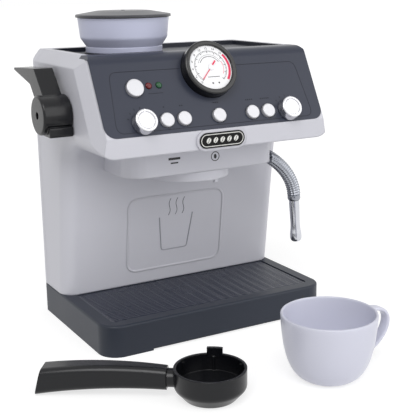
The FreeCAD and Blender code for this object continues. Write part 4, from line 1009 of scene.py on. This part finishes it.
def add_lever():
    """Lever with a glossy hub, a block under its front, and a paddle that leans back."""
    pivot = Vector(joint("lever_pull")["pos_m"])
    low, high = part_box("lever")
    outer = low.x
    inner = outer + LEVER_HUB_LENGTH
    shape = bmesh.new()
    profile = [(outer + LEVER_HOLE_DEPTH, LEVER_HOLE_RADIUS), (outer, LEVER_HOLE_RADIUS)]
    profile += [(x, LEVER_HUB_RADIUS - inset)
                for x, inset in soft_ends(outer, inner, LEVER_HUB_EDGE, LEVER_HUB_EDGE_STEPS)]
    profile += [(inner, LEVER_PIN_RADIUS), (high.x, LEVER_PIN_RADIUS)]
    close_tube(shape, side_rows(shape, pivot, profile, TURNED_STEPS))
    for outline, rounds, reach, edge in (
            (LEVER_ARM, LEVER_ARM_ROUNDS, LEVER_ARM_REACH, LEVER_ARM_EDGE),
            (LEVER_BLOCK, LEVER_BLOCK_ROUNDS, LEVER_BLOCK_REACH, LEVER_BLOCK_EDGE)):
        placed = [(pivot.y + y, pivot.z + z) for y, z in outline]
        add_slab(shape, placed, rounds, inner - reach[0], inner - reach[1], edge)
    piece = finish_piece("lever_body", shape, finishes["black_plastic"], "lever")
    flats = piece.modifiers.new("flat_faces", "WEIGHTED_NORMAL")
    flats.keep_sharp = True
    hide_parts("lever")


# Small trim

def add_lid_edge():
    """Black edge band of the hopper lid, a closed ring turned about the lid's axis."""
    low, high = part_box("hopper_lid")
    centre = Vector(((low.x + high.x) / 2, (low.y + high.y) / 2, low.z))
    radius = (high.x - low.x) / 2
    profile = [(radius - LID_BAND_DEPTH, LID_BAND_LOW), (radius, LID_BAND_LOW),
               (radius, LID_BAND_HIGH), (radius - LID_BAND_DEPTH, LID_BAND_HIGH)]
    shape = bmesh.new()
    bridge(shape, turned_rows(shape, centre, profile), closed=True)
    finish_piece("lid_edge_band", shape, rim_black, "hopper_lid")


def add_screw_crosses():
    """Dark crosses on the rear cover's screws, painted shade in place of their cross recesses."""
    shape = bmesh.new()
    for x in (-REAR_SCREW_X, REAR_SCREW_X):
        for z in REAR_SCREW_HEIGHTS:
            place = plane_frame(Vector((x, REAR_SCREW_Y, z)), Vector((-1, 0, 0)), Vector((0, 0, 1)))
            level, upright = SCREW_CROSS_HEIGHTS
            add_ribbon(shape, place, [(-SCREW_CROSS, 0), (SCREW_CROSS, 0)], SCREW_CROSS_WIDTH, level)
            add_ribbon(shape, place, [(0, -SCREW_CROSS), (0, SCREW_CROSS)], SCREW_CROSS_WIDTH, upright)
    finish_piece("rear_screw_crosses", shape, recess_painted_shade, smooth=False)


def add_base_shade_spot():
    """Small dark disc at the right end of the base's front, painted shade."""
    shape = bmesh.new()
    front = Vector((BASE_SHADE_SPOT_X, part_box("base_tray")[0].y, BASE_SHADE_SPOT_Z))
    place = plane_frame(front, Vector((1, 0, 0)), Vector((0, 0, 1)))
    add_disc(shape, place, (0, 0), BASE_SHADE_SPOT_RADIUS, BASE_SHADE_SPOT_RADIUS, PRINT_HEIGHT,
             steps=BASE_SHADE_SPOT_STEPS)
    # The spot takes the black ink finish as painted shade, not as print.
    finish_piece("base_shade_spot", shape, ink)


# Studio

def path_factor(tree):
    """1 for what the camera sees, directly, mirrored or through glass."""
    path = tree.nodes.new("ShaderNodeLightPath")
    total = path.outputs["Is Camera Ray"]
    for name in ("Is Glossy Ray", "Is Transmission Ray"):
        add = tree.nodes.new("ShaderNodeMath")
        add.operation = "MAXIMUM"
        tree.links.new(total, add.inputs[0])
        link(tree, path, name, add, 1)
        total = add.outputs["Value"]
    return total


def mix_by_path(tree, unseen, seen, output):
    """Sends one shader to the light's bounces and the other to what the camera sees."""
    mix = tree.nodes.new("ShaderNodeMixShader")
    tree.links.new(path_factor(tree), mix.inputs["Fac"])
    tree.links.new(unseen, mix.inputs[1])
    tree.links.new(seen, mix.inputs[2])
    link(tree, mix, "Shader", tree.nodes[output], "Surface")


def make_world():
    world = bpy.data.worlds.new("studio")
    world.use_nodes = True
    tree = world.node_tree
    lit = tree.nodes["Background"]
    lit.inputs["Color"].default_value = WHITE
    lit.inputs["Strength"].default_value = WORLD_LEVEL
    seen = tree.nodes.new("ShaderNodeBackground")
    seen.inputs["Color"].default_value = WHITE
    seen.inputs["Strength"].default_value = 1.0
    mix_by_path(tree, lit.outputs["Background"], seen.outputs["Background"], "World Output")
    bpy.context.scene.world = world


def make_floor():
    """Large pale floor that looks white to the camera but keeps the object's shadow."""
    shape = bmesh.new()
    bmesh.ops.create_grid(shape, x_segments=2, y_segments=2, size=FLOOR_SIZE)
    mesh = bpy.data.meshes.new("floor")
    shape.to_mesh(mesh)
    shape.free()
    floor = bpy.data.objects.new("floor", mesh)
    bpy.context.scene.collection.objects.link(floor)
    material, tree, plain = blank_material("floor_white")
    plain.inputs["Base Color"].default_value = (FLOOR_BOUNCE, FLOOR_BOUNCE, FLOOR_BOUNCE, 1.0)
    plain.inputs["Roughness"].default_value = FLOOR_ROUGHNESS
    shade = tree.nodes.new("ShaderNodeBsdfDiffuse")
    shade.inputs["Color"].default_value = (FLOOR_SHADE, FLOOR_SHADE, FLOOR_SHADE, 1.0)
    glow = tree.nodes.new("ShaderNodeEmission")
    glow.inputs["Strength"].default_value = FLOOR_GLOW
    both = tree.nodes.new("ShaderNodeAddShader")
    link(tree, shade, "BSDF", both, 0)
    link(tree, glow, "Emission", both, 1)
    mix_by_path(tree, plain.outputs["BSDF"], both.outputs["Shader"], "Material Output")
    mesh.materials.append(material)


def add_sun(name, level, aim, softness):
    lamp = bpy.data.lights.new(name, "SUN")
    lamp.energy = level
    lamp.angle = math.radians(softness)
    holder = bpy.data.objects.new(name, lamp)
    holder.rotation_euler = Vector(aim).to_track_quat("-Z", "Y").to_euler()
    bpy.context.scene.collection.objects.link(holder)


def make_camera():
    back = CAMERA_RIGHT.cross(CAMERA_UP)
    turn = Matrix((CAMERA_RIGHT, CAMERA_UP, back)).transposed().to_4x4()
    data = bpy.data.cameras.new("photo_view")
    data.lens = CAMERA_LENS
    data.sensor_width = CAMERA_SENSOR
    data.clip_start, data.clip_end = CAMERA_CLIP
    holder = bpy.data.objects.new("photo_view", data)
    holder.matrix_world = Matrix.Translation(CAMERA_PLACE) @ turn
    bpy.context.scene.collection.objects.link(holder)
    bpy.context.scene.camera = holder


dress_nodes()
add_panel_line()
add_legends()
add_dial_print()
add_needle()
add_emblem()
add_badge_trim()
add_box_marks()
add_drip_plate()
add_cup()
add_wand()
add_lever()
add_lid_edge()
add_screw_crosses()
add_base_shade_spot()

make_world()
make_floor()
add_sun("key", KEY_LEVEL, KEY_DIRECTION, KEY_SOFTNESS)
add_sun("fill", FILL_LEVEL, FILL_DIRECTION, FILL_SOFTNESS)
make_camera()
bpy.context.scene.view_settings.view_transform = "Standard"
